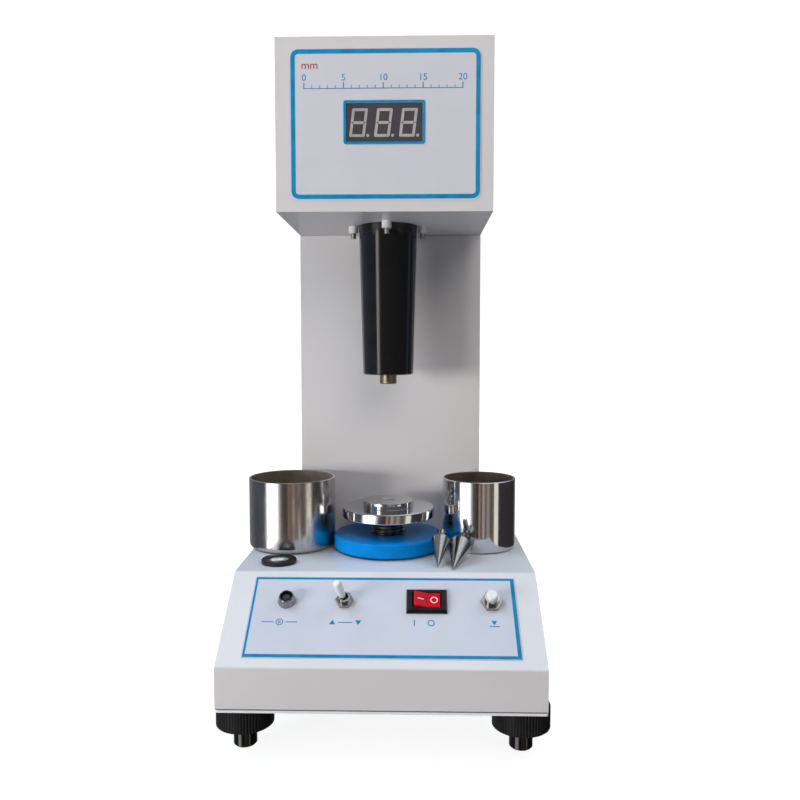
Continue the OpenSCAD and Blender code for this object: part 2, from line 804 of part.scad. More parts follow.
function thread_outline(low, high) =
    let (turns = floor((high - low) / screw_pitch))
    concat([[0, low]],
        [for (i = [0 : turns - 1], k = [0 : 1])
            [screw_r - thread_depth * (1 - k), low + (i + k * 0.5) * screw_pitch]],
        [[screw_r - thread_depth, low + turns * screw_pitch], [screw_r - thread_depth, high],
            [spigot_r, high], [spigot_r, high + spigot_h], [0, high + spigot_h]]);

module lift_screw() {
    color("#8f8a80") on_axis(top_z) difference() {
        rotate_extrude() polygon(thread_outline(-screw_below, stage_rise));
        translate([0, 0, stage_rise + spigot_h - 10]) cylinder(r = 2, h = 11);
    }
}

module stage_plate() {
    soft = 0.5;
    color(chrome) on_axis(top_z + stage_rise) rotate_extrude() polygon([[spigot_r, 0], [stage_r - soft, 0],
        [stage_r, soft], [stage_r, stage_t - soft], [stage_r - soft, stage_t], [2.3, stage_t], [2.3, spigot_h],
        [spigot_r, spigot_h]]);
}

module stage_seat() {
    soft = 0.4;
    color(chrome) on_axis(top_z + stage_rise + stage_t) rotate_extrude() polygon([[2.3, 0], [seat_r, 0],
        [seat_r, seat_h - soft], [seat_r - soft, seat_h], [3.9, seat_h], [3.9, seat_h - 0.5], [2.3, seat_h - 2.1]]);
}

module stage_screw() {
    color(steel) on_axis(top_z + stage_rise + stage_t + seat_h) difference() {
        rotate_extrude() polygon([[0, -0.6], [3.6, -0.6], [2, -2.25], [2, -stage_t - seat_h - 3],
            [0, -stage_t - seat_h - 3]]);
        translate([0, 0, -0.9]) block(8, 0.9, 2);
    }
}

// Measuring head

module tube_cover() {
    end_wall = 3;
    low = -tube_len;
    color(black) on_axis(head_z) rotate_extrude() polygon([[tip_r + fit_gap, low], [tube_end_r - 0.6, low],
        [tube_end_r, low + 0.6], [tube_top_r, 0], [tube_top_r, floor_top], [tube_top_r - tube_wall, floor_top],
        [tube_top_r - tube_wall, -6.5], [tube_end_r - tube_wall, low + end_wall], [tip_r + fit_gap, low + end_wall]]);
}

module flange_screws() {
    color(steel) at_bosses() translate([0, 0, head_z + mech_top]) pan_screw(mech_top + boss_h + 3);
}

module mechanism_plate() {
    color("#a9adb2") difference() {
        on_axis(head_z + floor_top) block(mech_plate_w, mech_plate_d, mech_plate_t);
        on_axis(head_z + floor_top - 1) cylinder(r = guide_r + run_gap, h = mech_plate_t + 2);
        at_bosses() translate([0, 0, head_z + floor_top - 1]) cylinder(r = m3_r + 0.1, h = mech_plate_t + 2);
    }
}

module guide_tube() {
    spigot = tube_top_r - tube_wall - run_gap;
    color("#a9adb2") on_axis(head_z) rotate_extrude() polygon([[guide_bore_r, guide_low], [guide_r, guide_low],
        [guide_r, floor_top - 6], [spigot, floor_top - 6], [spigot, floor_top], [guide_r, floor_top],
        [guide_r, guide_top], [guide_bore_r, guide_top]]);
}

module guide_bushes() {
    color(brass_tone) on_axis(head_z) {
        translate([0, 0, guide_low]) ring(guide_bore_r, rod_r + run_gap, bush_h);
        translate([0, 0, guide_top - bush_h]) ring(guide_bore_r, rod_r + run_gap, bush_h);
    }
}

module measuring_rod() {
    tab_w = strip_w;
    color(steel) on_axis(head_z) {
        translate([0, 0, tip_low + 10]) cylinder(r = rod_r, h = armature_low - tip_low - 10 + eps);
        translate([0, 0, armature_low]) cylinder(r = armature_r, h = armature_t);
        translate([-tab_w / 2, 0, armature_low]) cube([tab_w, strip_y, armature_t - 1]);
    }
}

module rod_tip() {
    socket_r = 2;
    color(brass_tone) on_axis(head_z + tip_low) difference() {
        rotate_extrude() polygon([[0, 0], [tip_r - 0.4, 0], [tip_r, 0.4], [tip_r, tip_len - 1], [tip_r - 1, tip_len],
            [rod_r, tip_len], [rod_r, 10], [0, 10]]);
        translate([0, 0, -1]) cylinder(r = socket_r, h = 9);
        translate([0, 0, 4.2]) rotate([90, 0, 0]) cylinder(r = 0.7, h = tip_r + 1);
    }
}

module scale_strip() {
    color("#c9b26b") on_axis(head_z + strip_low) translate([-strip_w / 2, strip_y, 0]) cube([strip_w, strip_t, strip_h]);
}

module read_head() {
    gap = 0.6;
    block_d = 5.8;
    stalk_y = strip_y + strip_t + gap + block_d;
    color(board_green) on_axis(head_z) {
        translate([-7, strip_y + strip_t + gap, strip_low + 4]) cube([14, block_d + eps, 18]);
        translate([-7, stalk_y, mech_top]) cube([14, 3, strip_low + 24 - mech_top]);
    }
}

module magnet_bracket() {
    post_w = 7;
    post_d = 6;
    post_y = -11;
    post_x = magnet_r + 6;
    bridge_low = magnet_low + magnet_h;
    color(steel) on_axis(head_z) {
        for (x = [-1, 1]) {
            translate([x * (post_x + post_w / 2), post_y, mech_top]) block(post_w, post_d, bridge_low - mech_top + eps);
        }
        translate([-post_x - post_w, post_y - post_d / 2, bridge_low])
            cube([2 * (post_x + post_w), post_d / 2 - post_y + 4, bridge_t]);
    }
}

module magnet_yoke() {
    core_r = 4;
    wall = 2;
    color(steel) on_axis(head_z + magnet_low) rotate_extrude() polygon([[0, 0], [core_r, 0], [core_r, magnet_h - 3],
        [magnet_r - wall, magnet_h - 3], [magnet_r - wall, 0], [magnet_r, 0], [magnet_r, magnet_h], [0, magnet_h]]);
}

module magnet_coil() {
    color("#a5552a") on_axis(head_z + magnet_low + 1) ring(magnet_r - 2 - run_gap, 4 + run_gap, magnet_h - 4);
}

// Electronics in the base

board_w = 56;
board_d = 62;
board_lift = 7;
board_x = -36;
board_y = back_y - 46;

module at_board_studs() {
    for (x = [-1, 1], y = [-1, 1]) {
        translate([board_x + x * (board_w / 2 - 4), board_y + y * (board_d / 2 - 4), foot_clear]) children();
    }
}

module main_board() {
    level = shell_z + board_lift;
    color(board_green) translate([board_x, board_y, level]) {
        block(board_w, board_d, 1.6);
        translate([-12, -16, 1.6 - eps]) block(22, 8, 3.5);
        translate([10, 10, 1.6 - eps]) cylinder(r = 6, h = 16);
        translate([-10, 14, 1.6 - eps]) block(16, 12, 11);
        translate([14, -14, 1.6 - eps]) block(10, 20, 9);
    }
}

core_l = 44;
core_d = 18;
core_h = 36;
core_x = 36;
core_back = 66;
core_y = back_y - core_back;
core_foot = 8;
coil_out = 8;

module transformer_core() {
    leg = 8;
    color("#55585c") translate([core_x, core_y, shell_z]) difference() {
        union() {
            block(core_l, core_d, core_h);
            block(core_l + 2 * core_foot, core_d, 1.2);
        }
        for (x = [-1, 1]) translate([x * (core_l / 4 - 0.5), 0, leg]) block(core_l / 2 - 3 * leg / 2, core_d + 2, core_h - 2 * leg);
    }
}

module transformer_coil() {
    leg = 8;
    color("#c7a545") translate([core_x, core_y, shell_z + leg + 0.2]) difference() {
        block(core_l - 2 * leg - 0.6, core_d + 2 * coil_out, core_h - 2 * leg - 0.4);
        translate([0, 0, -1]) block(2 * leg - 1.6, core_d + 0.6, core_h);
    }
}

module mains_inlet() {
    mouth_w = inlet_w - 3;
    mouth_h = inlet_h - 3.2;
    blade = [1.6, 15, 4];
    color(black) translate([inlet_x, back_y, inlet_z]) difference() {
        union() {
            rotate([-90, 0, 0]) linear_extrude(inlet_rim_t)
                round_rect(inlet_w + 2 * inlet_rim, inlet_h + 2 * inlet_rim, 2);
            translate([-inlet_w / 2, -inlet_depth, -inlet_h / 2]) cube([inlet_w, inlet_depth + eps, inlet_h]);
        }
        translate([-mouth_w / 2, -17, -mouth_h / 2]) cube([mouth_w, 30, mouth_h]);
    }
    color(steel) for (k = [-1, 0, 1]) {
        translate([inlet_x + k * 7 - blade[0] / 2, back_y - 18, inlet_z - blade[2] / 2 + (k == 0 ? 2 : -2)])
            cube(blade);
    }
}

// Sample cups and cones

module cup(r, soft) {
    color(chrome) rotate_extrude() polygon(concat([[0, 0]], corner_arc([0, 0], [r, 0], [r, cup_h], soft, 4),
        [[r, cup_h - 0.3], [r - 0.3, cup_h], [r - cup_wall + 0.3, cup_h], [r - cup_wall, cup_h - 0.3],
        [r - cup_wall, soft + 0.6], [r - cup_wall - soft / 2, 1.8], [0, 1.8]]));
}

module large_cup() {
    translate([large_cup_x, axis_y + large_cup_dy, top_z]) cup(large_cup_r, 3);
}

module small_cup() {
    translate([small_cup_at.x, small_cup_at.y, top_z]) cup(small_cup_r, 1.8);
}

// Cone with its point on the base top, leaning back by a given rise of its axis
module leaning_cone(tip, turn, lean, r, body, back, stud) {
    color("#b4b6ba") translate([tip.x, tip.y, top_z + tip_lift]) rotate([0, 0, -turn]) rotate([lean - 90, 0, 0])
        rotate_extrude() polygon([[0, 0], [r, body], [r, body + 0.5], [cone_stud_r + 0.8, body + back],
            [cone_stud_r, body + back], [cone_stud_r, body + back + stud - 0.4],
            [cone_stud_r - 0.4, body + back + stud], [0, body + back + stud]]);
}

module small_cone() {
    leaning_cone(small_tip, small_heading, small_lean, small_cone_r, small_body, small_back, small_stud);
}

module large_cone() {
    leaning_cone(large_tip, large_heading, large_lean, large_cone_r, large_body, large_back, large_stud);
}

base_shell();
base_plate();
base_plate_screws();
foot_nuts();
column_shell();
head_shell();
rear_cover();
rear_cover_screws();
control_label();
head_label();
lamp_bezel();
lamp_lens();
toggle_body();
toggle_nut();
toggle_lever();
toggle_sleeve();
rocker_housing();
rocker();
button_body();
button_nut();
button_cap();
level_ring();
level_vial();
lift_bush();
lift_wheel();
lift_screw();
stage_plate();
stage_seat();
stage_screw();
tube_cover();
flange_screws();
mechanism_plate();
guide_tube();
guide_bushes();
measuring_rod();
rod_tip();
scale_strip();
read_head();
magnet_bracket();
magnet_yoke();
magnet_coil();
display_module();
display_board();
main_board();
transformer_core();
transformer_coil();
mains_inlet();
foot_knob(-1, 0);  // foot_knob_front_left
foot_knob(1, 0);  // foot_knob_front_right
foot_knob(-1, 1);  // foot_knob_rear_left
foot_knob(1, 1);  // foot_knob_rear_right
foot_pad(-1, 0);  // foot_pad_front_left
foot_pad(1, 0);  // foot_pad_front_right
foot_pad(-1, 1);  // foot_pad_rear_left
foot_pad(1, 1);  // foot_pad_rear_right
large_cup();
small_cup();
small_cone();
large_cone();
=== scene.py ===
import json
import math

import bmesh
import bpy
from mathutils import Matrix, Vector


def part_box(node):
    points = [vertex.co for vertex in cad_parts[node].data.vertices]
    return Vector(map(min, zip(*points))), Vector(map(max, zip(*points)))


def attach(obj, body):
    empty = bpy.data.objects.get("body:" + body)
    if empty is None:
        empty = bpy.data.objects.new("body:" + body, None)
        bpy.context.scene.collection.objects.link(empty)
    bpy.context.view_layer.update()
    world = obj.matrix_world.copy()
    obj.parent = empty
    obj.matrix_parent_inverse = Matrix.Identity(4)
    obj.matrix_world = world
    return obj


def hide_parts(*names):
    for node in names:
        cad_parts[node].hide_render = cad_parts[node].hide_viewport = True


bl_info = {
    "name": "Soil limit tester finishes",
    "version": (1, 0, 0),
    "blender": (4, 5, 0),
    "location": "3D View > Sidebar > Limit tester",
    "description": "Finishes, printed films, digits, thread and studio for a soil limit tester",
    "category": "Object",
}

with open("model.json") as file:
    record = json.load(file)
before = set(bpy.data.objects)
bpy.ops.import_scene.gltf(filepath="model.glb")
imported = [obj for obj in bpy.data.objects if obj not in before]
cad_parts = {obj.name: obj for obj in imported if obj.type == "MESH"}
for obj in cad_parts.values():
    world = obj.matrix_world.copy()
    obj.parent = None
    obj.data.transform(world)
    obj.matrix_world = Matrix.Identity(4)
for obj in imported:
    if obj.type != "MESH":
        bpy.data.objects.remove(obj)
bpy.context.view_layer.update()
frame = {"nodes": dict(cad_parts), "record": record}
NODES = frame["nodes"]
JOINTS = {joint["name"]: joint for joint in frame["record"]["behaviour"]["joints"]}
MM = 0.001
ACROSS = Vector((1, 0, 0))
RISE = Vector(JOINTS["toggle_throw"]["axis"]).normalized()  # up the slope of the control panel
FILM_THICKNESS = 0.3 * MM
MARK_RELIEF = 0.05 * MM  # of the digits and the marks on the rocker
FONT_SIZE = 1.38  # of the built-in font, over the height of its figures


def linear(hex_colour):
    """An sRGB hex value such as #1C86BC as linear red, green, blue and alpha."""
    values = [int(hex_colour[i:i + 2], 16) / 255 for i in (1, 3, 5)]
    return [v / 12.92 if v <= 0.04045 else ((v + 0.055) / 1.055) ** 2.4 for v in values] + [1.0]


def shaded(colour, factor):
    """A linear colour made darker by a factor."""
    return [c * factor for c in colour[:3]] + [1]


def middle(node):
    """Middle of a CAD node's box at rest."""
    low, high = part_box(node)
    return (Vector(low) + Vector(high)) / 2


def extent(node):
    """Width, depth and height of a CAD node's box at rest."""
    low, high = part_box(node)
    return Vector(high) - Vector(low)


# Sizes and colours that a user would change


def length_property(name, description, default, low, high):
    """A size that is given here in millimetres."""
    return bpy.props.FloatProperty(
        name=name, description=description, default=default * MM, min=low * MM, max=high * MM,
        unit="LENGTH", precision=5)


def colour_property(name, description, default):
    """A colour that is given here as an sRGB hex value."""
    return bpy.props.FloatVectorProperty(
        name=name, description=description, default=linear(default), min=0, max=1,
        subtype="COLOR", size=4)


class TesterSizes(bpy.types.PropertyGroup):
    ink_thickness: length_property(
        "Ink thickness", "How far printed marks stand proud of a film", 0.06, 0.01, 0.3)
    head_rim: length_property(
        "Head border", "Width of the blue border on the head label", 2.3, 0.5, 6)
    panel_rim: length_property(
        "Panel border", "Mean width of the blue border on the control label", 1.5, 0.5, 6)
    window_rim: length_property(
        "Window border", "Width of the blue rim round the digits", 1.25, 0.3, 3)
    digit_height: length_property(
        "Digit height", "Height of one seven-segment digit", 14.5, 8, 18)
    digit_pitch: length_property(
        "Digit pitch", "Distance from one digit to the next", 12.9, 8, 18)
    thread_pitch: length_property(
        "Thread pitch", "Rise of the lifting thread in one turn", 2, 1, 4)
    edge_break: length_property(
        "Edge break", "Width of the softened edges of the sheet steel", 0.6, 0.1, 1)


class TesterColours(bpy.types.PropertyGroup):
    paint: colour_property("Paint", "Powder coat on the sheet steel", "#E0DAD7")
    film: colour_property("Label film", "Printed polyester labels", "#D9D7DC")
    ink: colour_property("Blue ink", "Borders and marks on the labels", "#1593C4")
    wheel: colour_property("Wheel", "Plastic of the lifting wheel", "#0384D0")
    rocker: colour_property("Rocker", "Plastic of the mains rocker", "#D20E22")


# Shader nodes


def feed(tree, node, inputs):
    """Link the outputs of other nodes to a node's sockets, and set numbers and colours on them."""
    for socket, value in inputs.items():
        if isinstance(value, bpy.types.NodeSocket):
            tree.links.new(value, node.inputs[socket])
        else:
            node.inputs[socket].default_value = value


def add_node(tree, kind, settings=None, inputs=None):
    """Add a shader node; settings are its own values, inputs go to its sockets."""
    made = tree.nodes.new(kind)
    for name, value in (settings or {}).items():
        if name == "stops":
            while len(made.color_ramp.elements) < len(value):
                made.color_ramp.elements.new(0.5)
            for element, (at, colour) in zip(made.color_ramp.elements, value):
                element.position = at
                element.color = list(colour)
        else:
            setattr(made, name, value)
    feed(tree, made, inputs or {})
    return made


def per_mm(size):
    """Texture scale, per metre, for a pattern whose features are this many millimetres wide."""
    return 1000 / size


def start_material(name):
    """A new Principled material; gives the material, tree, shader and Object coordinates."""
    made = bpy.data.materials.new(name)
    made.use_nodes = True
    tree = made.node_tree
    tree.nodes.clear()
    shader = add_node(tree, "ShaderNodeBsdfPrincipled")
    add_node(tree, "ShaderNodeOutputMaterial", None, {"Surface": shader.outputs["BSDF"]})
    place = add_node(tree, "ShaderNodeTexCoord").outputs["Object"]
    return made, tree, shader, place


def drifting(tree, place, dark, light, rough, size, detail, ends=(0.3, 0.7)):
    """A tone and a gloss that drift together, in patches of this many millimetres."""
    patches = add_node(tree, "ShaderNodeTexNoise", None, {
        "Vector": place, "Scale": per_mm(size), "Detail": detail}).outputs["Fac"]
    tone = add_node(tree, "ShaderNodeValToRGB", {"stops": [(ends[0], dark), (ends[1], light)]}, {
        "Fac": patches})
    gloss = add_node(tree, "ShaderNodeMapRange", None, {
        "Value": patches, "To Min": rough[0], "To Max": rough[1]})
    return tone.outputs["Color"], gloss.outputs["Result"]


def grained(tree, place, size, detail, strength, depth):
    """A normal with a fine grain of this many millimetres."""
    grain = add_node(tree, "ShaderNodeTexNoise", None, {
        "Vector": place, "Scale": per_mm(size), "Detail": detail})
    return add_node(tree, "ShaderNodeBump", None, {
        "Strength": strength, "Distance": depth, "Height": grain.outputs["Fac"]}).outputs["Normal"]


# Materials


def powder_coat():
    # Baked powder on sheet steel: semi-gloss with a fine orange peel, tone drifting a little,
    # a painted shade line in the seam above the bottom plate, where the gap falls dark, and a few
    # chips beside it.
    colour = bpy.context.scene.tester_colours.paint
    made, tree, shader, place = start_material("powder_coat_warm_white")
    tone, gloss = drifting(
        tree, place, shaded(colour, 0.955), colour, rough=(0.24, 0.36), size=50, detail=4.0)
    height = add_node(tree, "ShaderNodeSeparateXYZ", None, {"Vector": place}).outputs["Z"]
    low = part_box("base_shell")[0][2]
    edge = add_node(tree, "ShaderNodeMapRange", None, {
        "Value": height, "From Min": low + 1.6 * MM, "From Max": low + 0.3 * MM})
    specks = add_node(tree, "ShaderNodeTexNoise", None, {
        "Vector": place, "Scale": per_mm(2.2), "Detail": 5.0})
    chips = add_node(tree, "ShaderNodeMath", {"operation": "MULTIPLY"}, {
        0: edge.outputs["Result"], 1: specks.outputs["Fac"]})
    chipped = add_node(tree, "ShaderNodeMapRange", None, {
        "Value": chips.outputs["Value"], "From Min": 0.64, "From Max": 0.70, "To Max": 0.7})
    # Painted shade: a dark line just above the bottom edge, standing in for the shadow of the gap
    # to the bottom plate.
    seam = add_node(tree, "ShaderNodeMapRange", None, {
        "Value": height, "From Min": low + 0.75 * MM, "From Max": low + 0.55 * MM, "To Max": 0.85})
    above = add_node(tree, "ShaderNodeMath", {"operation": "GREATER_THAN"}, {
        0: height, 1: low - 0.01 * MM})
    seam_shade = add_node(tree, "ShaderNodeMath", {"operation": "MULTIPLY"}, {
        0: seam.outputs["Result"], 1: above.outputs["Value"]})
    chips_and_seam_shade = add_node(tree, "ShaderNodeMath", {"operation": "MAXIMUM"}, {
        0: chipped.outputs["Result"], 1: seam_shade.outputs["Value"]})
    # Chips show dark steel; the same dark along the seam is painted shade.
    mixed = add_node(tree, "ShaderNodeMix", {"data_type": "RGBA"}, {
        0: chips_and_seam_shade.outputs["Value"], 6: tone, 7: linear("#3A3936")})
    feed(tree, shader, {
        "Base Color": mixed.outputs[2], "Roughness": gloss,
        "Normal": grained(tree, place, size=2.0, detail=3.0, strength=0.75, depth=0.09 * MM)})
    return made


def plate_enamel():
    # Bottom plate: the shell's white paint drawn lighter as a painted highlight for the bright
    # strip along its edge, glossier, a little yellowed in patches.
    made, tree, shader, place = start_material("plate_enamel_white")
    tone, gloss = drifting(
        tree, place, linear("#ECEBE6"), linear("#F6F6F5"), rough=(0.18, 0.30), size=25, detail=4.0)
    feed(tree, shader, {"Base Color": tone, "Roughness": gloss})
    return made


def printed_film(name, shade):
    # Back-printed polyester film: an even satin, with a faint paper-like mottle.
    # A shade below 1 gives a darker copy of the same film: painted shade.
    colour = shaded(bpy.context.scene.tester_colours.film, shade)
    made, tree, shader, place = start_material(name)
    tone, gloss = drifting(
        tree, place, shaded(colour, 0.96), colour, rough=(0.42, 0.42), size=18, detail=5.0)
    feed(tree, shader, {
        "Base Color": tone, "Roughness": gloss,
        "Normal": grained(tree, place, size=0.7, detail=2.0, strength=0.12, depth=0.02 * MM)})
    return made


def screen_ink(name, colour, dark):
    # Screen-printed ink under the film: even, a touch thinner here and there.
    made, tree, shader, place = start_material(name)
    tone, gloss = drifting(
        tree, place, shaded(colour, dark), colour, rough=(0.38, 0.38), size=6, detail=4.0,
        ends=(0.32, 0.62))
    feed(tree, shader, {"Base Color": tone, "Roughness": gloss, "Specular IOR Level": 0.25})
    return made


def bright_chrome():
    # Decorative chromium plating: mirror bright, with hairline handling marks.
    name = "bright_chrome_plate"
    if name in bpy.data.materials:
        return bpy.data.materials[name]
    made, tree, shader, place = start_material(name)
    marks = add_node(tree, "ShaderNodeTexNoise", None, {
        "Vector": place, "Scale": per_mm(3), "Detail": 6.0})
    gloss = add_node(tree, "ShaderNodeMapRange", None, {
        "Value": marks.outputs["Fac"], "From Min": 0.35, "From Max": 0.75,
        "To Min": 0.05, "To Max": 0.16})
    feed(tree, shader, {
        "Base Color": linear("#D3D5D8"), "Roughness": gloss.outputs["Result"], "Metallic": 1})
    return made


def scuffed_chrome():
    # Well used plating on the large cup: satin from scouring, cloudy patches and upright streaks.
    made, tree, shader, place = start_material("scuffed_chrome_plate")
    tall = add_node(tree, "ShaderNodeMapping", None, {"Vector": place, "Scale": (1, 1, 0.22)})
    streaks = add_node(tree, "ShaderNodeTexNoise", None, {
        "Vector": tall.outputs["Vector"], "Scale": per_mm(2.2), "Detail": 6.0, "Roughness": 0.65})
    clouds = add_node(tree, "ShaderNodeTexNoise", None, {
        "Vector": place, "Scale": per_mm(14), "Detail": 5.0})
    both = add_node(tree, "ShaderNodeMath", {"operation": "MULTIPLY"}, {
        0: streaks.outputs["Fac"], 1: clouds.outputs["Fac"]})
    gloss = add_node(tree, "ShaderNodeMapRange", None, {
        "Value": both.outputs["Value"], "From Min": 0.14, "From Max": 0.38,
        "To Min": 0.11, "To Max": 0.24})
    tone = add_node(tree, "ShaderNodeValToRGB", {"stops": [
        (0.16, linear("#D0CECC")), (0.38, linear("#B4B1AF"))]}, {"Fac": both.outputs["Value"]})
    bump = add_node(tree, "ShaderNodeBump", None, {
        "Strength": 0.04, "Distance": 0.02 * MM, "Height": streaks.outputs["Fac"]})
    feed(tree, shader, {"Base Color": tone.outputs["Color"], "Roughness": gloss.outputs["Result"],
                        "Normal": bump.outputs["Normal"], "Metallic": 1})
    return made


def stain_bore(made, cup, stain):
    # Soil stain inside a cup: the plating there is dull and blotchy and no longer mirrors.
    tree = made.node_tree
    shader = tree.nodes["Principled BSDF"]
    place = tree.nodes["Texture Coordinate"].outputs["Object"]
    hub = middle(cup)
    radius = extent(cup).x / 2
    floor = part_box(cup)[0][2] + 1.2 * MM
    centred = add_node(tree, "ShaderNodeMapping", None, {
        "Vector": place, "Location": (-hub.x, -hub.y, 0), "Scale": (1, 1, 0)})
    away = add_node(tree, "ShaderNodeVectorMath", {"operation": "LENGTH"}, {
        0: centred.outputs["Vector"]})
    within = add_node(tree, "ShaderNodeMapRange", None, {
        "Value": away.outputs["Value"],
        "From Min": radius - 0.9 * MM, "From Max": radius - 1.1 * MM})
    spot = add_node(tree, "ShaderNodeSeparateXYZ", None, {"Vector": place})
    above = add_node(tree, "ShaderNodeMath", {"operation": "GREATER_THAN"}, {
        0: spot.outputs["Z"], 1: floor})
    inside = add_node(tree, "ShaderNodeMath", {"operation": "MULTIPLY"}, {
        0: within.outputs["Result"], 1: above.outputs["Value"]}).outputs["Value"]
    brown = linear(stain)
    soil, dull = drifting(
        tree, place, shaded(brown, 0.6), brown, rough=(0.5, 0.5), size=9, detail=5.0)
    clean = shader.inputs["Base Color"]
    clean = clean.links[0].from_socket if clean.is_linked else tuple(clean.default_value)
    tone = add_node(tree, "ShaderNodeMix", {"data_type": "RGBA"}, {0: inside, 6: clean, 7: soil})
    gloss = add_node(tree, "ShaderNodeMix", None, {
        0: inside, 2: shader.inputs["Roughness"].links[0].from_socket, 3: dull})
    mirror = add_node(tree, "ShaderNodeMapRange", None, {
        "Value": inside, "To Min": 1.0, "To Max": 0.25})
    feed(tree, shader, {"Base Color": tone.outputs[2], "Roughness": gloss.outputs[0],
                        "Metallic": mirror.outputs["Result"]})
    return made


def wheel_plastic():
    # Turned blue nylon: satin, with faint lathe rings on its flat top, centred on the spindle.
    colour = bpy.context.scene.tester_colours.wheel
    made, tree, shader, place = start_material("turned_blue_nylon")
    hub = middle("lift_wheel")
    ring = 3.2 * MM
    centred = add_node(tree, "ShaderNodeMapping", None, {
        "Vector": place, "Location": (-hub.x, -hub.y, 0)})
    rings = add_node(tree, "ShaderNodeTexWave", {
        "wave_type": "RINGS", "rings_direction": "Z", "wave_profile": "SIN"}, {
        "Vector": centred.outputs["Vector"], "Scale": 6.28 / (20 * ring),
        "Distortion": 0.6, "Detail": 2.0})
    bump = add_node(tree, "ShaderNodeBump", None, {
        "Strength": 0.10, "Distance": 0.02 * MM, "Height": rings.outputs["Fac"]})
    tone, gloss = drifting(
        tree, place, shaded(colour, 0.86), colour, rough=(0.24, 0.36), size=9, detail=4.0)
    feed(tree, shader, {"Base Color": tone, "Roughness": gloss, "Normal": bump.outputs["Normal"],
                        "Specular IOR Level": 0.08})
    return made


def vial_glass():
    # Spirit level vial: clear cover over pale liquid, seen as one glossy pale disc, lightest in the
    # middle as a painted highlight and darkening towards the ring as painted shade.
    made, tree, shader, place = start_material("level_vial_glass")
    centred = add_node(tree, "ShaderNodeMapping", None, {
        "Vector": place, "Location": -middle("level_vial")})
    away = add_node(tree, "ShaderNodeVectorMath", {"operation": "LENGTH"}, {
        0: centred.outputs["Vector"]})
    # Painted highlight in the middle, painted shade towards the ring.
    centre_glint_to_rim_shade = add_node(tree, "ShaderNodeMapRange", None, {
        "Value": away.outputs["Value"], "From Max": 6.4 * MM})
    tone = add_node(tree, "ShaderNodeValToRGB", {"stops": [
        (0.0, linear("#DADBD2")), (0.55, linear("#B9BDB2")), (1.0, linear("#565A55"))]}, {
        "Fac": centre_glint_to_rim_shade.outputs["Result"]})
    feed(tree, shader, {"Base Color": tone.outputs["Color"], "Roughness": 0.06, "Coat Weight": 0.6})
    return made


# Dark tone, light tone, lowest and highest roughness, width of the marks in mm, their detail
METALS = {
    "zinc_plated_steel": ("#A3A5A8", "#C6C8CA", (0.22, 0.42), 2.5, 4.0),
    "turned_tool_steel": ("#A9A7A5", "#BFBDBB", (0.07, 0.13), 0.9, 6.0),
    "oiled_thread_steel": ("#6B655C", "#B3A68F", (0.22, 0.45), 4.0, 5.0),
    "lamp_bezel_satin_nickel": ("#8C8D90", "#A8AAAE", (0.22, 0.32), 1.6, 5.0),
    "nut_bright_nickel": ("#9C968D", "#C2BCB4", (0.12, 0.22), 1.2, 5.0),
    "turned_brass": ("#8C8069", "#BBB09A", (0.28, 0.42), 1.0, 5.0),
    "milled_aluminium": ("#A9ABAE", "#C9CBCD", (0.28, 0.42), 1.2, 5.0),
    "enamelled_copper": ("#7A3B1C", "#B5653A", (0.30, 0.45), 0.6, 5.0),
    "laminated_core_steel": ("#3B3C3E", "#58595C", (0.40, 0.60), 0.5, 5.0),
}


def metal(name, ends=(0.3, 0.7)):
    # Worked metal: tool marks, clouds or a film of grease, with tone and gloss varying with them.
    if name in bpy.data.materials:
        return bpy.data.materials[name]
    dark, light, rough, width, detail = METALS[name]
    made, tree, shader, place = start_material(name)
    tone, gloss = drifting(tree, place, linear(dark), linear(light), rough, width, detail, ends)
    feed(tree, shader, {"Base Color": tone, "Roughness": gloss, "Metallic": 1})
    return made


# Dark tone, light tone, lowest and highest roughness, mould grain in mm, its strength, sheen
PLASTICS = {
    "display_face_charcoal": ("#3F3C42", "#48454B", (0.36, 0.46), 0.8, 0.05, 0.5),
    "segment_epoxy_beige": ("#A89E9A", "#C0B6B1", (0.40, 0.50), 0.7, 0.10, 0.5),
    "glossy_white_abs": ("#E4E1DC", "#F0EEEA", (0.22, 0.32), 0.9, 0.05, 0.5),
    "switch_black_nylon": ("#0A0B0C", "#101113", (0.26, 0.38), 0.6, 0.12, 0.35),
    "lamp_lens_smoked": ("#22262A", "#3A3F42", (0.06, 0.10), 0.8, 0.02, 0.5),
    "rocker_mark_white": ("#E6D6D2", "#F3E9E6", (0.30, 0.40), 0.5, 0.05, 0.5),
    "level_black_abs": ("#111113", "#1B1B1D", (0.34, 0.48), 0.6, 0.20, 0.5),
    "level_target_black": ("#181A1A", "#202222", (0.40, 0.50), 0.5, 0.05, 0.5),
    # The bubble is near white: a painted glint of the light it catches.
    "level_bubble_clear": ("#E2E4DC", "#F1F2EC", (0.04, 0.07), 0.8, 0.02, 0.5),
    "tube_glossy_black_abs": ("#100F0F", "#151413", (0.07, 0.12), 1.4, 0.02, 0.5),
    "etched_scale_film": ("#B3A264", "#C9B978", (0.25, 0.35), 0.6, 0.05, 0.5),
    "knob_black_phenolic": ("#0D0D0E", "#151517", (0.42, 0.58), 0.5, 0.25, 0.22),
    "pad_glossy_black_nylon": ("#060708", "#0B0C0E", (0.07, 0.12), 0.8, 0.03, 0.5),
    "inlet_black_nylon": ("#121314", "#1B1C1E", (0.38, 0.52), 0.5, 0.20, 0.5),
    "circuit_board_resist": ("#174628", "#1F5A35", (0.30, 0.42), 0.5, 0.15, 0.5),
}


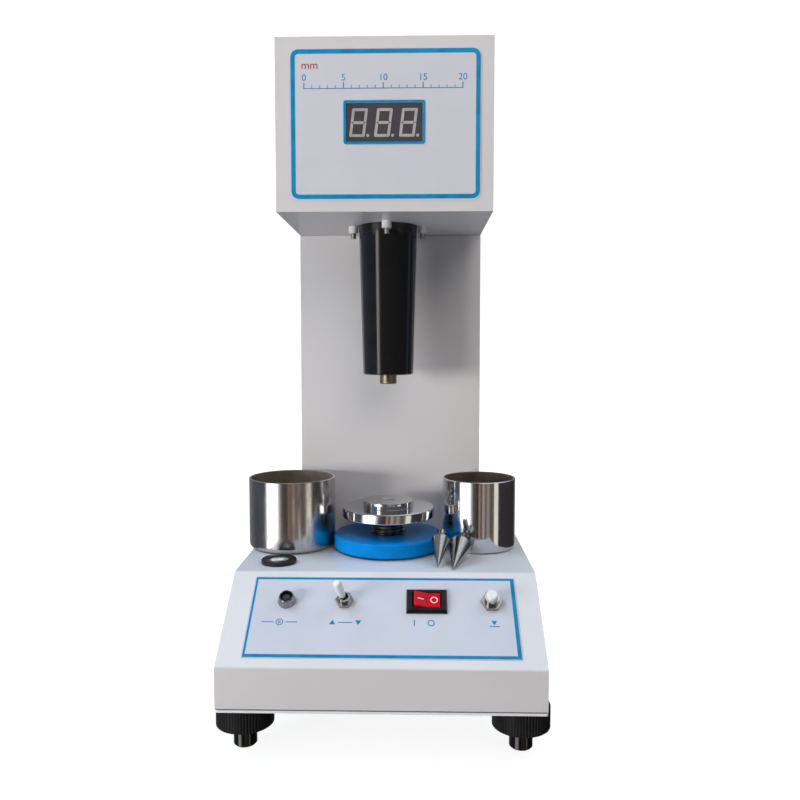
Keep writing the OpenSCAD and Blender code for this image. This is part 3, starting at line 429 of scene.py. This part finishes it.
def moulded(name, dark, light, rough, grain, strength, sheen):
    # Moulded thermoplastic: a mould grain and a slight drift of tone and gloss.
    made, tree, shader, place = start_material(name)
    tone, gloss = drifting(tree, place, dark, light, rough, size=12, detail=3.0)
    feed(tree, shader, {"Base Color": tone, "Roughness": gloss, "Specular IOR Level": sheen,
                        "Normal": grained(tree, place, grain, 3.0, strength, depth=0.03 * MM)})
    return made


def plastic(name):
    """A moulded plastic of the table."""
    dark, light, *rest = PLASTICS[name]
    return moulded(name, linear(dark), linear(light), *rest)


# Shapes


def only(obj):
    """Leave edit mode and select this object alone, or nothing."""
    if bpy.context.object and bpy.context.object.mode != "OBJECT":
        bpy.ops.object.mode_set(mode="OBJECT")
    bpy.ops.object.select_all(action="DESELECT")
    bpy.context.view_layer.objects.active = obj
    if obj:
        obj.select_set(True)


def edit(obj):
    """Enter edit mode with all of this object selected."""
    only(obj)
    bpy.ops.object.mode_set(mode="EDIT")
    bpy.ops.mesh.select_all(action="SELECT")


def bake(location=False, rotation=False, scale=False):
    """Put the active object's place, turn or scale into its mesh."""
    bpy.ops.object.transform_apply(location=location, rotation=rotation, scale=scale)


def pick(obj, kind, rule):
    """In edit mode, select the verts, edges or faces that a rule holds for."""
    bpy.context.tool_settings.mesh_select_mode = (kind == "verts", kind == "edges", kind == "faces")
    bpy.ops.mesh.select_all(action="DESELECT")
    mesh = bmesh.from_edit_mesh(obj.data)
    for element in getattr(mesh, kind):
        element.select_set(bool(rule(element)))
    bmesh.update_edit_mesh(obj.data)


def apply_modifier(obj, kind, **settings):
    """Add a modifier, set it and apply it."""
    only(obj)
    added = obj.modifiers.new(kind.title(), kind)
    for name, value in settings.items():
        setattr(added, name, value)
    bpy.ops.object.modifier_apply(modifier=added.name)


def thicken(obj, depth):
    """Give a flat shape its thickness, upwards."""
    apply_modifier(obj, "SOLIDIFY", thickness=depth, offset=1)
    return obj


def repeat(obj, count, shift):
    """Repeat a flat shape across its sheet."""
    apply_modifier(obj, "ARRAY", count=count, use_relative_offset=False, use_constant_offset=True,
                   constant_offset_displace=(shift, 0, 0))


def flat_sheet(width, height):
    """A flat rectangle, centred on the origin."""
    only(None)
    bpy.ops.mesh.primitive_plane_add(size=1)
    made = bpy.context.object
    made.scale = (width, height, 1)
    bake(scale=True)
    return made


def flat_disc(corners, radius):
    """A flat disc or polygon, centred on the origin."""
    only(None)
    bpy.ops.mesh.primitive_circle_add(vertices=corners, radius=radius, fill_type="NGON")
    return bpy.context.object


def flat_bar(width, height, corner=0.1 * MM):
    """A flat bar with clipped corners, centred on the origin."""
    bar = flat_sheet(width, height)
    edit(bar)
    bpy.ops.mesh.bevel(offset=corner, segments=3, affect="VERTICES")
    only(bar)
    return bar


def flat_ring(radius, stroke):
    """A flat ring, centred on the origin."""
    ring = flat_disc(48, radius)
    edit(ring)
    bpy.ops.mesh.inset(thickness=stroke)
    bpy.ops.mesh.delete(type="FACE")
    only(ring)
    return ring


def flat_arrow(size, turn):
    """A flat triangle that points up, or down if turned by half a turn."""
    arrow = flat_disc(3, size)
    edit(arrow)
    bpy.ops.mesh.bevel(offset=size * 0.12, segments=2, affect="VERTICES")
    only(arrow)
    arrow.rotation_euler.z = turn
    bake(rotation=True)
    return arrow


def flat_text(words, height):
    """Plain figures as a flat mesh, centred on the origin."""
    only(None)
    bpy.ops.object.text_add()
    made = bpy.context.object
    made.data.body = words
    made.data.size = height * FONT_SIZE
    made.data.align_x = "CENTER"
    made.data.align_y = "CENTER"
    bpy.ops.object.convert(target="MESH")
    made = bpy.context.object
    edit(made)
    bpy.ops.mesh.remove_doubles(threshold=0.01 * MM)
    only(made)
    return made


def flat_frame(width, height, rim, corner=0, shift=(0, 0)):
    """A flat border with round or square corners; shift moves its inner edge off centre."""
    made = flat_sheet(width, height)
    edit(made)
    if corner:
        bpy.ops.mesh.bevel(offset=corner, segments=8, affect="VERTICES")
        bpy.ops.mesh.select_all(action="SELECT")
    bpy.ops.mesh.inset(thickness=rim)
    bpy.ops.transform.translate(value=(shift[0], shift[1], 0))
    bpy.ops.mesh.delete(type="FACE")
    only(made)
    return made


def moved(obj, x, y):
    """Shift a flat shape on its sheet, in its mesh."""
    only(obj)
    obj.location = (x, y, 0)
    bake(location=True)
    return obj


def joined(shapes):
    """Join several shapes into the first."""
    only(shapes[0])
    for shape in shapes:
        shape.select_set(True)
    bpy.ops.object.join()
    return bpy.context.object


# Pieces


def settle(obj, name, place, material, body):
    """Put a finished piece in its place in its mesh, name it, paint it and let it ride."""
    only(obj)
    obj.name = name
    obj.data.name = name
    obj.matrix_world = place @ obj.matrix_world
    bake(location=True, rotation=True, scale=True)
    edit(obj)
    bpy.ops.mesh.normals_make_consistent(inside=False)
    only(obj)
    obj.data.materials.clear()
    obj.data.materials.append(material)
    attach(obj, body)
    return obj


def print_mark(shape, name, place, ink):
    """Print a flat shape on a label, as thick as the ink lies."""
    depth = bpy.context.scene.tester_sizes.ink_thickness
    settle(thicken(shape, depth), name, place, ink, "frame")


def on_head(x, z):
    """Place on the head label's face, from its middle: X across, Y up, Z towards the user."""
    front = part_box("head_label")[0][1]
    hub = middle("head_label")
    return Matrix(((1, 0, 0, hub.x + x), (0, 0, -1, front), (0, 1, 0, hub.z + z), (0, 0, 0, 1)))


def on_panel(x, up):
    """Place on the control label's face, from its middle: X across, Y up the slope, Z out of it."""
    out = ACROSS.cross(RISE)
    hub = middle("control_label") + ACROSS * x + RISE * up + out * FILM_THICKNESS / 2
    return Matrix((
        (ACROSS.x, RISE.x, out.x, hub.x), (ACROSS.y, RISE.y, out.y, hub.y),
        (ACROSS.z, RISE.z, out.z, hub.z), (0, 0, 0, 1)))


def paint(names, material):
    """Give CAD nodes a finish."""
    for name in names:
        node = NODES[name]
        if not node.material_slots:
            node.data.materials.append(material)
        for held in node.material_slots:
            held.material = material


def soften(names, width, segments=2):
    """Break the sharp edges of CAD nodes with live modifiers, their meshes left as they are."""
    for name in names:
        node = NODES[name]
        weld = node.modifiers.new("Weld", "WELD")
        weld.merge_threshold = 0.001 * MM
        edge = node.modifiers.new("Edge break", "BEVEL")
        edge.width = width
        edge.segments = segments
        edge.limit_method = "ANGLE"
        edge.angle_limit = math.radians(35)
        normals = node.modifiers.new("Weighted normals", "WEIGHTED_NORMAL")
        normals.keep_sharp = False


class TESTER_OT_sheet_steel(bpy.types.Operator):
    """Powder coat on the base, column, head and covers, with broken edges"""
    bl_idname = "tester.sheet_steel"
    bl_label = "Painted sheet steel"

    def execute(self, context):
        shells = ["base_shell", "column_shell", "head_shell", "rear_cover"]
        screws = ["rear_cover_screws", "base_plate_screws", "flange_screws", "foot_nuts"]
        paint(shells, powder_coat())
        paint(["base_plate"], plate_enamel())
        paint(screws, metal("zinc_plated_steel"))
        soften(shells, context.scene.tester_sizes.edge_break, 3)
        soften(["base_plate"], 0.25 * MM)
        return {"FINISHED"}


class TESTER_OT_head_print(bpy.types.Operator):
    """Head label: film, blue border, rim round the digits, measuring scale"""
    bl_idname = "tester.head_print"
    bl_label = "Head label"

    def execute(self, context):
        sizes = context.scene.tester_sizes
        blue = screen_ink("screen_ink_azure", context.scene.tester_colours.ink, 0.78)
        paint(["head_label"], printed_film("polyester_film_lavender", 1.0))
        label = extent("head_label")
        side_gap, end_gap = 1 * MM, 0.8 * MM
        border = flat_frame(
            label.x - 2 * side_gap, label.z - 2 * end_gap, sizes.head_rim, corner=4 * MM)
        print_mark(border, "head_border", on_head(0.6 * MM, 0), blue)
        self.window(sizes.window_rim, blue)
        self.scale(blue)
        return {"FINISHED"}

    def window(self, width, blue):
        """A raised rim that stands a little off the display."""
        display = extent("display_module")
        hub = middle("display_module") - middle("head_label")
        gap = 0.2 * MM
        around = 2 * (width + gap)
        rim = flat_frame(display.x + around, display.z + around, width, corner=1.3 * MM)
        settle(thicken(rim, 0.25 * MM), "window_rim", on_head(hub.x, hub.z), blue,
               "frame")

    def scale(self, blue):
        """A plain scale of the measuring range, 0 to 20, with its figures and unit."""
        step = 4.1 * MM
        short, tall = 1.7 * MM, 3 * MM
        tick = moved(flat_bar(0.35 * MM, short, 0.08 * MM), -9 * step, short / 2)
        repeat(tick, 4, step)
        repeat(tick, 4, 5 * step)
        long_tick = moved(flat_bar(0.5 * MM, tall), -10 * step, tall / 2)
        repeat(long_tick, 5, 5 * step)
        line = flat_bar(20 * step + 0.6 * MM, 0.4 * MM)
        figures = [moved(flat_text(str(5 * k), 3.4 * MM), (k - 2) * 5 * step, 5.4 * MM)
                   for k in range(5)]
        marks = joined([line, tick, long_tick] + figures)
        print_mark(marks, "range_scale", on_head(-0.5 * MM, 18.2 * MM), blue)
        red = screen_ink("screen_ink_red", linear("#C22732"), 0.85)
        print_mark(flat_text("mm", 4.2 * MM), "range_unit", on_head(-38.5 * MM, 29.8 * MM), red)


class TESTER_OT_digits(bpy.types.Operator):
    """Display: charcoal face and three slanted digits with their points"""
    bl_idname = "tester.digits"
    bl_label = "Display digits"

    def execute(self, context):
        sizes = context.scene.tester_sizes
        paint(["display_module"], plastic("display_face_charcoal"))
        cast = plastic("segment_epoxy_beige")
        first = self.digit(sizes.digit_height)
        face = middle("display_module") - middle("head_label")
        aside, below = 0.4 * MM, 0.2 * MM
        for k in range(3):
            only(first)
            bpy.ops.object.duplicate()
            place = on_head(face.x + (k - 1) * sizes.digit_pitch - aside, face.z - below)
            settle(bpy.context.object, "digit_%d" % (k + 1), place, cast, "frame")
        only(first)
        bpy.ops.object.delete()
        return {"FINISHED"}

    def digit(self, height):
        """One digit: seven bars cut to fit each other, and a round point, leaning to the right."""
        high = height / 2
        wide = height * 0.28
        bar = height * 0.098
        gap = 0.12 * MM
        clip = 0.5 * MM
        slant = math.tan(math.radians(7))
        upright = [(-wide, high - clip), (-wide + clip, high), (-wide + bar, high),
                   (-wide + bar, bar * 0.62), (-wide + bar * 0.5, gap), (-wide, gap)]
        top = [(-wide + bar + gap, high), (wide - bar - gap, high),
               (wide - bar - gap, high - bar), (-wide + bar + gap, high - bar)]
        tip = wide - bar * 0.75
        shoulder = wide - bar * 1.3
        waist = [(-tip, 0), (-shoulder, bar * 0.5), (shoulder, bar * 0.5),
                 (tip, 0), (shoulder, -bar * 0.5), (-shoulder, -bar * 0.5)]
        shapes = [top, [(x, -y) for x, y in top], waist]
        shapes += [[(x * sx, y * sy) for x, y in upright] for sx in (1, -1) for sy in (1, -1)]
        parts = []
        for outline in shapes:
            following = outline[1:] + outline[:1]
            if sum(a[0] * b[1] - b[0] * a[1] for a, b in zip(outline, following)) < 0:
                outline = outline[::-1]
            part = flat_disc(len(outline), MM)
            for vertex, (x, y) in zip(part.data.vertices, outline):
                vertex.co = (x + y * slant, y, 0)
            parts.append(part)
        point = moved(flat_disc(24, 0.8 * MM), 4.75 * MM, -6.5 * MM)
        return thicken(joined(parts + [point]), MARK_RELIEF)


class TESTER_OT_panel_print(bpy.types.Operator):
    """Control label: film, blue border and a plain pictogram under each control"""
    bl_idname = "tester.panel_print"
    bl_label = "Control label"

    def execute(self, context):
        sizes = context.scene.tester_sizes
        # Painted shade: the control label's ink and film are darker copies of the head label's, to
        # offset the brighter light on the slope.
        ink_in_painted_shade = shaded(context.scene.tester_colours.ink, 0.78)
        blue = screen_ink("screen_ink_deep_azure", ink_in_painted_shade, 0.8)
        paint(["control_label"], printed_film("polyester_film_pale_grey", 0.87))
        label = extent("control_label")
        slope = (label.z - FILM_THICKNESS * RISE.y) / RISE.z
        border = flat_frame(
            label.x - 1 * MM, slope - 0.7 * MM, sizes.panel_rim, shift=(-0.4 * MM, 0.2 * MM))
        print_mark(border, "panel_border", on_panel(0.2 * MM, 0), blue)
        row = -3.7 * MM
        for name, x, shape in (
                ("lamp_mark", -51.9, self.lamp()), ("toggle_mark", -18.7, self.toggle()),
                ("switch_mark", 20.2, self.switch()), ("button_mark", 56.0, self.button())):
            print_mark(shape, name, on_panel(x * MM, row), blue)
        return {"FINISHED"}

    def lamp(self):
        """A lamp: ring with a dot, between two lines."""
        return joined([flat_ring(1.9 * MM, 0.42 * MM), flat_ring(0.75 * MM, 0.4 * MM),
                       moved(flat_bar(6 * MM, 0.45 * MM), -6 * MM, 0),
                       moved(flat_bar(6 * MM, 0.45 * MM), 6 * MM, 0)])

    def toggle(self):
        """Up on the left and down on the right, a line between."""
        return joined([moved(flat_arrow(1.8 * MM, 0), -6.5 * MM, -0.3 * MM),
                       moved(flat_arrow(1.8 * MM, math.pi), 6.5 * MM, 0.3 * MM),
                       flat_bar(7 * MM, 0.45 * MM)])

    def switch(self):
        """On and off: a bar and a ring."""
        return joined([moved(flat_bar(0.55 * MM, 3.6 * MM), -4.2 * MM, 0),
                       moved(flat_ring(1.8 * MM, 0.5 * MM), 4.2 * MM, 0)])

    def button(self):
        """A press: an arrow down onto a line."""
        return joined([moved(flat_arrow(1.7 * MM, math.pi), 0, 0.7 * MM),
                       moved(flat_bar(5 * MM, 0.5 * MM), 0, -1.7 * MM)])


class TESTER_OT_controls(bpy.types.Operator):
    """Lamp, toggle, rocker with its on and off marks, and push button"""
    bl_idname = "tester.controls"
    bl_label = "Controls"

    def execute(self, context):
        red = context.scene.tester_colours.rocker
        paint(["lamp_bezel"], metal("lamp_bezel_satin_nickel"))
        paint(["lamp_lens"], plastic("lamp_lens_smoked"))
        paint(["toggle_nut", "button_nut"], metal("nut_bright_nickel"))
        paint(["toggle_lever", "toggle_body", "button_body"], bright_chrome())
        paint(["toggle_sleeve", "button_cap"], plastic("glossy_white_abs"))
        paint(["rocker_housing"], plastic("switch_black_nylon"))
        paint(["rocker"], moulded(
            "rocker_red_polycarbonate", shaded(red, 0.85), red, (0.2, 0.3), 0.8, 0.04, 0.14))
        self.rocker_marks()
        return {"FINISHED"}

    def rocker_marks(self):
        """The bar and the ring on the two wings of the rocker."""
        pale = plastic("rocker_mark_white")
        tilt = math.radians(10)
        valley = 1.2 * MM
        slope = math.atan2(1.2, 6.4)
        along, proud = 3.5 * MM, 0.02 * MM
        pivot = Matrix.Translation(Vector(JOINTS["rocker_press"]["pos_m"]))
        hub = pivot @ on_panel(0, 0).to_3x3().to_4x4() @ Matrix.Rotation(tilt, 4, "Y")
        for name, side, shape in (("rocker_on_mark", -1, flat_bar(3.4 * MM, 0.5 * MM)),
                                  ("rocker_off_mark", 1, flat_ring(1.9 * MM, 0.5 * MM))):
            wing = Matrix.Translation((0, 0, valley)) @ Matrix.Rotation(-side * slope, 4, "Y")
            place = hub @ wing @ Matrix.Translation((side * along, 0, proud))
            settle(thicken(shape, MARK_RELIEF), name, place, pale, "rocker")


class TESTER_OT_level(bpy.types.Operator):
    """Round spirit level: ring, glass, target circle and bubble"""
    bl_idname = "tester.level"
    bl_label = "Spirit level"

    def execute(self, context):
        paint(["level_ring"], plastic("level_black_abs"))
        paint(["level_vial"], vial_glass())
        hub = middle("level_vial")
        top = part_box("level_vial")[1][2]
        target = thicken(flat_ring(3.1 * MM, 0.28 * MM), 0.04 * MM)
        centre = Matrix.Translation((hub.x, hub.y, top))
        settle(target, "level_target", centre, plastic("level_target_black"),
               "frame")
        # The bubble is drawn near white, a painted glint of the light it catches.
        aside = Matrix.Translation((hub.x + 0.8 * MM, hub.y + 0.6 * MM, top))
        settle(self.bubble(), "level_bubble", aside, plastic("level_bubble_clear"),
               "frame")
        return {"FINISHED"}

    def bubble(self):
        """The upper half of a flattened ball, closed below."""
        only(None)
        bpy.ops.mesh.primitive_uv_sphere_add(segments=32, ring_count=16, radius=2.1 * MM)
        ball = bpy.context.object
        ball.scale = (1, 1, 0.2)
        bake(scale=True)
        edit(ball)
        pick(ball, "verts", lambda vert: vert.co.z < -0.01 * MM)
        bpy.ops.mesh.delete(type="VERT")
        pick(ball, "edges", lambda edge: edge.is_boundary)
        bpy.ops.mesh.edge_face_add()
        only(ball)
        bpy.ops.object.shade_smooth()
        return ball


class TESTER_OT_lifting_stage(bpy.types.Operator):
    """Blue wheel, helical thread, plated disc and seat"""
    bl_idname = "tester.lifting_stage"
    bl_label = "Lifting stage"

    def execute(self, context):
        plated = ["stage_plate", "stage_seat"]
        paint(["lift_wheel"], wheel_plastic())
        paint(plated, bright_chrome())
        paint(["stage_screw", "lift_bush"], metal("zinc_plated_steel"))
        soften(["lift_wheel"], 0.5 * MM, 3)
        soften(plated, 0.3 * MM)
        self.thread(context.scene.tester_sizes.thread_pitch)
        return {"FINISHED"}

    def thread(self, pitch):
        """Wind one groove profile into a helix and trim its ends flat."""
        hub = middle("lift_screw")
        crest = extent("lift_screw").x / 2
        groove = 1.15 * MM
        root = crest - groove
        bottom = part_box("lift_screw")[0][2]
        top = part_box("stage_plate")[0][2]
        turns = int((top - bottom) / pitch) + 3
        only(None)
        bpy.ops.mesh.primitive_circle_add(vertices=6, radius=MM, fill_type="NOTHING")
        rod = bpy.context.object
        edit(rod)
        mesh = bmesh.from_edit_mesh(rod.data)
        mesh.verts.ensure_lookup_table()
        profile = [(root, 0), (root, 0.12), (crest, 0.44), (crest, 0.56), (root, 0.88), (root, 1)]
        for vertex, (away, share) in zip(mesh.verts, profile):
            vertex.co = (away, 0, share * pitch)
        bmesh.update_edit_mesh(rod.data)
        pick(rod, "edges", lambda e: abs(e.verts[0].co.z - e.verts[1].co.z) > 0.9 * pitch)
        bpy.ops.mesh.delete(type="EDGE")
        apply_modifier(rod, "SCREW", axis="Z", angle=2 * math.pi, screw_offset=pitch,
                       iterations=turns, steps=48, render_steps=48, use_merge_vertices=False)
        rod.location = (hub.x, hub.y, bottom - pitch * 1.2)
        bake(location=True)
        edit(rod)
        bpy.ops.mesh.remove_doubles(threshold=0.005 * MM)
        for end, side in ((bottom, -1), (top - 0.02 * MM, 1)):
            bpy.ops.mesh.select_all(action="SELECT")
            bpy.ops.mesh.bisect(plane_co=(0, 0, end), plane_no=(0, 0, side),
                                clear_outer=True, use_fill=True)
        only(rod)
        bpy.ops.object.shade_smooth_by_angle(angle=math.radians(30))
        greased = metal("oiled_thread_steel", (0.35, 0.65))
        settle(rod, "lifting_thread", Matrix.Identity(4), greased, "stage")
        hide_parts("lift_screw")


class TESTER_OT_measuring_head(bpy.types.Operator):
    """Black tube, brass tip and the mechanism inside the head"""
    bl_idname = "tester.measuring_head"
    bl_label = "Measuring head"

    def execute(self, context):
        paint(["tube_cover"], plastic("tube_glossy_black_abs"))
        paint(["rod_tip", "guide_bushes"], metal("turned_brass"))
        paint(["mechanism_plate", "guide_tube"], metal("milled_aluminium"))
        paint(["measuring_rod"], metal("turned_tool_steel"))
        paint(["magnet_bracket", "magnet_yoke"], metal("zinc_plated_steel"))
        paint(["scale_strip"], plastic("etched_scale_film"))
        return {"FINISHED"}


class TESTER_OT_feet(bpy.types.Operator):
    """Fluted knobs and glossy pads"""
    bl_idname = "tester.feet"
    bl_label = "Levelling feet"

    def execute(self, context):
        corners = ("front_left", "front_right", "rear_left", "rear_right")
        paint(["foot_knob_" + c for c in corners], plastic("knob_black_phenolic"))
        paint(["foot_pad_" + c for c in corners], plastic("pad_glossy_black_nylon"))
        return {"FINISHED"}


class TESTER_OT_cups_and_cones(bpy.types.Operator):
    """Loose sample cups and cones"""
    bl_idname = "tester.cups_and_cones"
    bl_label = "Cups and cones"

    def execute(self, context):
        paint(["large_cup"], stain_bore(scuffed_chrome(), "large_cup", "#8F8272"))
        plated = bright_chrome().copy()
        plated.name = "stained_chrome_plate"
        paint(["small_cup"], stain_bore(plated, "small_cup", "#75685C"))
        paint(["small_cone", "large_cone"], metal("turned_tool_steel"))
        return {"FINISHED"}


class TESTER_OT_electrics(bpy.types.Operator):
    """Inlet, boards, magnet coil and transformer"""
    bl_idname = "tester.electrics"
    bl_label = "Electrics"

    def execute(self, context):
        paint(["mains_inlet"], plastic("inlet_black_nylon"))
        paint(["read_head", "display_board", "main_board"], plastic("circuit_board_resist"))
        paint(["magnet_coil", "transformer_coil"], metal("enamelled_copper"))
        paint(["transformer_core"], metal("laminated_core_steel"))
        return {"FINISHED"}


# What shiny surfaces mirror round the studio: bearing, red, green and blue. The bearing is 0 to the
# left, 0.25 towards the camera, 0.5 to the right and 0.75 behind. Cups and cones see the bench, and
# the tube sees the walls.
BENCH = (
    (0.000, 0.10, 0.11, 0.13), (0.060, 0.08, 0.09, 0.10), (0.074, 0.90, 0.90, 0.95),
    (0.085, 3.60, 3.55, 3.50), (0.155, 3.60, 3.55, 3.50), (0.168, 1.00, 0.97, 0.96),
    (0.190, 0.12, 0.11, 0.11), (0.235, 0.04, 0.03, 0.03), (0.245, 0.45, 0.30, 0.22),
    (0.262, 0.10, 0.06, 0.05), (0.280, 0.50, 0.42, 0.38), (0.300, 0.14, 0.10, 0.09),
    (0.320, 0.42, 0.34, 0.30), (0.345, 0.12, 0.09, 0.08), (0.372, 0.20, 0.16, 0.14),
    (0.380, 1.00, 0.95, 0.82), (0.410, 1.00, 0.95, 0.82), (0.420, 0.05, 0.04, 0.04),
    (0.630, 0.03, 0.03, 0.03), (0.700, 0.25, 0.25, 0.25), (0.850, 0.25, 0.25, 0.26),
    (0.950, 0.10, 0.11, 0.13), (1.000, 0.10, 0.11, 0.13),
)
WALLS = (
    (0.000, 0.17, 0.23, 0.33), (0.112, 0.13, 0.18, 0.27), (0.124, 4.40, 4.00, 3.80),
    (0.138, 4.40, 4.00, 3.80), (0.160, 0.20, 0.19, 0.19), (0.200, 0.15, 0.14, 0.14),
    (0.500, 0.09, 0.09, 0.10), (0.525, 0.26, 0.34, 0.44), (0.550, 0.05, 0.05, 0.06),
    (0.650, 0.20, 0.20, 0.20), (0.850, 0.26, 0.27, 0.30), (1.000, 0.17, 0.23, 0.33),
)

# Name, place, width and height in metres, watts, colour
LIGHTS = (
    ("key_window", (-1.15, -0.95, 0.14), 0.7, 0.26, 14.6, (0.945, 0.96, 0.985)),
    ("front_fill", (0.25, -0.8, 0.75), 0.6, 0.5, 2.5, (1.0, 0.93, 0.89)),
    ("rear_fill", (0.3, 1.5, 0.6), 0.9, 0.7, 3.6, (0.96, 0.97, 1.0)),
    ("sky_left", (-1.0, -0.05, 1.3), 1.2, 1.2, 21.5, (0.61, 0.80, 1.0)),
    ("sky_right", (0.9, 0.2, 1.3), 1.2, 1.2, 12.6, (0.63, 0.80, 1.0)),
)


class TESTER_OT_studio(bpy.types.Operator):
    """Pale floor, soft light and the camera"""
    bl_idname = "tester.studio"
    bl_label = "Studio"

    def execute(self, context):
        self.floor()
        self.lights()
        self.surroundings()
        self.camera()
        context.scene.view_settings.view_transform = "Standard"
        return {"FINISHED"}

    def floor(self):
        """White paper, a little brighter far away so that it meets the white behind it."""
        only(None)
        bpy.ops.mesh.primitive_plane_add(size=8, location=(0, 0, -0.2 * MM))
        ground = bpy.context.object
        ground.name = "studio_floor"
        bake(location=True, rotation=True, scale=True)
        made, tree, shader, place = start_material("studio_paper_white")
        away = add_node(tree, "ShaderNodeVectorMath", {"operation": "LENGTH"}, {0: place})
        glow = add_node(tree, "ShaderNodeMapRange", None, {
            "Value": away.outputs["Value"], "From Min": 0.15, "From Max": 1.2,
            "To Min": 0.88, "To Max": 1.1})
        path = add_node(tree, "ShaderNodeLightPath")
        seen = add_node(tree, "ShaderNodeMath", {"operation": "MULTIPLY"}, {
            0: path.outputs["Is Camera Ray"], 1: glow.outputs["Result"]})
        feed(tree, shader, {
            "Base Color": linear("#909090"), "Roughness": 0.9,
            "Emission Color": (1, 1, 1, 1), "Emission Strength": seen.outputs["Value"]})
        ground.data.materials.append(made)
        ground.visible_glossy = False

    def lights(self):
        """Soft panels aimed at the middle of the column, hidden from mirrors."""
        aim = Vector((0, 0, 0.17))
        for name, place, wide, tall, power, colour in LIGHTS:
            data = bpy.data.lights.new(name, "AREA")
            data.shape = "RECTANGLE"
            data.size = wide
            data.size_y = tall
            data.energy = power
            data.color = colour
            lamp = bpy.data.objects.new(name, data)
            bpy.context.scene.collection.objects.link(lamp)
            lamp.location = place
            lamp.rotation_euler = (aim - Vector(place)).to_track_quat("-Z", "Y").to_euler()
            lamp.visible_glossy = False

    def blend(self, tree, value, start, end, first, second):
        """One colour giving way to another while a value goes from start to end."""
        share = add_node(tree, "ShaderNodeMapRange", None, {
            "Value": value, "From Min": start, "From Max": end})
        return add_node(tree, "ShaderNodeMix", {"data_type": "RGBA"}, {
            0: share.outputs["Result"], 6: first, 7: second}).outputs[2]

    def surroundings(self):
        """White behind the object; shiny surfaces see the bench, walls and ceiling of a room."""
        world = bpy.data.worlds.new("studio_room")
        bpy.context.scene.world = world
        world.use_nodes = True
        tree = world.node_tree
        tree.nodes.clear()
        way = add_node(tree, "ShaderNodeTexCoord").outputs["Generated"]
        parts = add_node(tree, "ShaderNodeSeparateXYZ", None, {"Vector": way})
        across, height = parts.outputs["X"], parts.outputs["Z"]
        bearing = add_node(tree, "ShaderNodeMath", {"operation": "ARCTAN2"}, {
            0: parts.outputs["Y"], 1: across})
        turn = add_node(tree, "ShaderNodeMapRange", None, {
            "Value": bearing.outputs["Value"], "From Min": -math.pi, "From Max": math.pi})
        bench, walls = [add_node(tree, "ShaderNodeValToRGB", {
            "stops": [(at, (*colour, 1)) for at, *colour in bands]}, {
            "Fac": turn.outputs["Result"]}).outputs["Color"] for bands in (BENCH, WALLS)]
        ceiling = self.blend(tree, across, -0.12, 0.06, (0.29, 0.29, 0.31, 1), (0.95, 1.0, 1.05, 1))
        sides = self.blend(tree, height, -0.13, -0.10, bench, walls)
        room = self.blend(tree, height, 0.45, 0.75, sides, ceiling)
        path = add_node(tree, "ShaderNodeLightPath")
        mirrored = add_node(tree, "ShaderNodeBackground", None, {"Color": room, "Strength": 1.0})
        soft = add_node(tree, "ShaderNodeBackground", None, {
            "Color": (0.06, 0.06, 0.06, 1), "Strength": 1.0})
        white = add_node(tree, "ShaderNodeBackground", None, {
            "Color": (1, 1, 1, 1), "Strength": 1.1})
        lit = add_node(tree, "ShaderNodeMixShader", None, {
            0: path.outputs["Is Glossy Ray"], 1: soft.outputs["Background"],
            2: mirrored.outputs["Background"]})
        mixed = add_node(tree, "ShaderNodeMixShader", None, {
            0: path.outputs["Is Camera Ray"], 1: lit.outputs["Shader"],
            2: white.outputs["Background"]})
        add_node(tree, "ShaderNodeOutputWorld", None, {"Surface": mixed.outputs["Shader"]})

    def camera(self):
        """The photograph's viewpoint: in front, a little to the right, looking slightly down."""
        data = bpy.data.cameras.new("photo_camera")
        data.sensor_width = 36
        data.lens = 34.57
        data.clip_start = 0.01
        eye = bpy.data.objects.new("photo_camera", data)
        bpy.context.scene.collection.objects.link(eye)
        yaw, pitch = math.radians(1.35), math.radians(3.67)
        level = math.cos(pitch)
        front = Vector((-math.sin(yaw) * level, math.cos(yaw) * level, -math.sin(pitch)))
        eye.location = (17.7 * MM, -456.2 * MM, 198.9 * MM)
        eye.rotation_euler = front.to_track_quat("-Z", "Y").to_euler()
        bpy.context.scene.camera = eye


STEPS = (
    TESTER_OT_sheet_steel, TESTER_OT_head_print, TESTER_OT_digits, TESTER_OT_panel_print,
    TESTER_OT_controls, TESTER_OT_level, TESTER_OT_lifting_stage, TESTER_OT_measuring_head,
    TESTER_OT_feet, TESTER_OT_cups_and_cones, TESTER_OT_electrics, TESTER_OT_studio,
)


class TESTER_PT_panel(bpy.types.Panel):
    """Sizes, colours and steps of the tester"""
    bl_idname = "TESTER_PT_panel"
    bl_label = "Limit tester"
    bl_space_type = "VIEW_3D"
    bl_region_type = "UI"
    bl_category = "Limit tester"

    def draw(self, context):
        for group in (context.scene.tester_sizes, context.scene.tester_colours):
            column = self.layout.column()
            for name in group.__annotations__:
                column.prop(group, name)
        for step in STEPS:
            self.layout.operator(step.bl_idname)


CLASSES = (TesterSizes, TesterColours) + STEPS + (TESTER_PT_panel,)


def register():
    for made in CLASSES:
        bpy.utils.register_class(made)
    bpy.types.Scene.tester_sizes = bpy.props.PointerProperty(type=TesterSizes)
    bpy.types.Scene.tester_colours = bpy.props.PointerProperty(type=TesterColours)


def unregister():
    del bpy.types.Scene.tester_colours
    del bpy.types.Scene.tester_sizes
    for made in reversed(CLASSES):
        bpy.utils.unregister_class(made)


def main():
    register()
    bpy.ops.tester.sheet_steel()
    bpy.ops.tester.head_print()
    bpy.ops.tester.digits()
    bpy.ops.tester.panel_print()
    bpy.ops.tester.controls()
    bpy.ops.tester.level()
    bpy.ops.tester.lifting_stage()
    bpy.ops.tester.measuring_head()
    bpy.ops.tester.feet()
    bpy.ops.tester.cups_and_cones()
    bpy.ops.tester.electrics()
    bpy.ops.tester.studio()


if __name__ == "__main__":
    main()
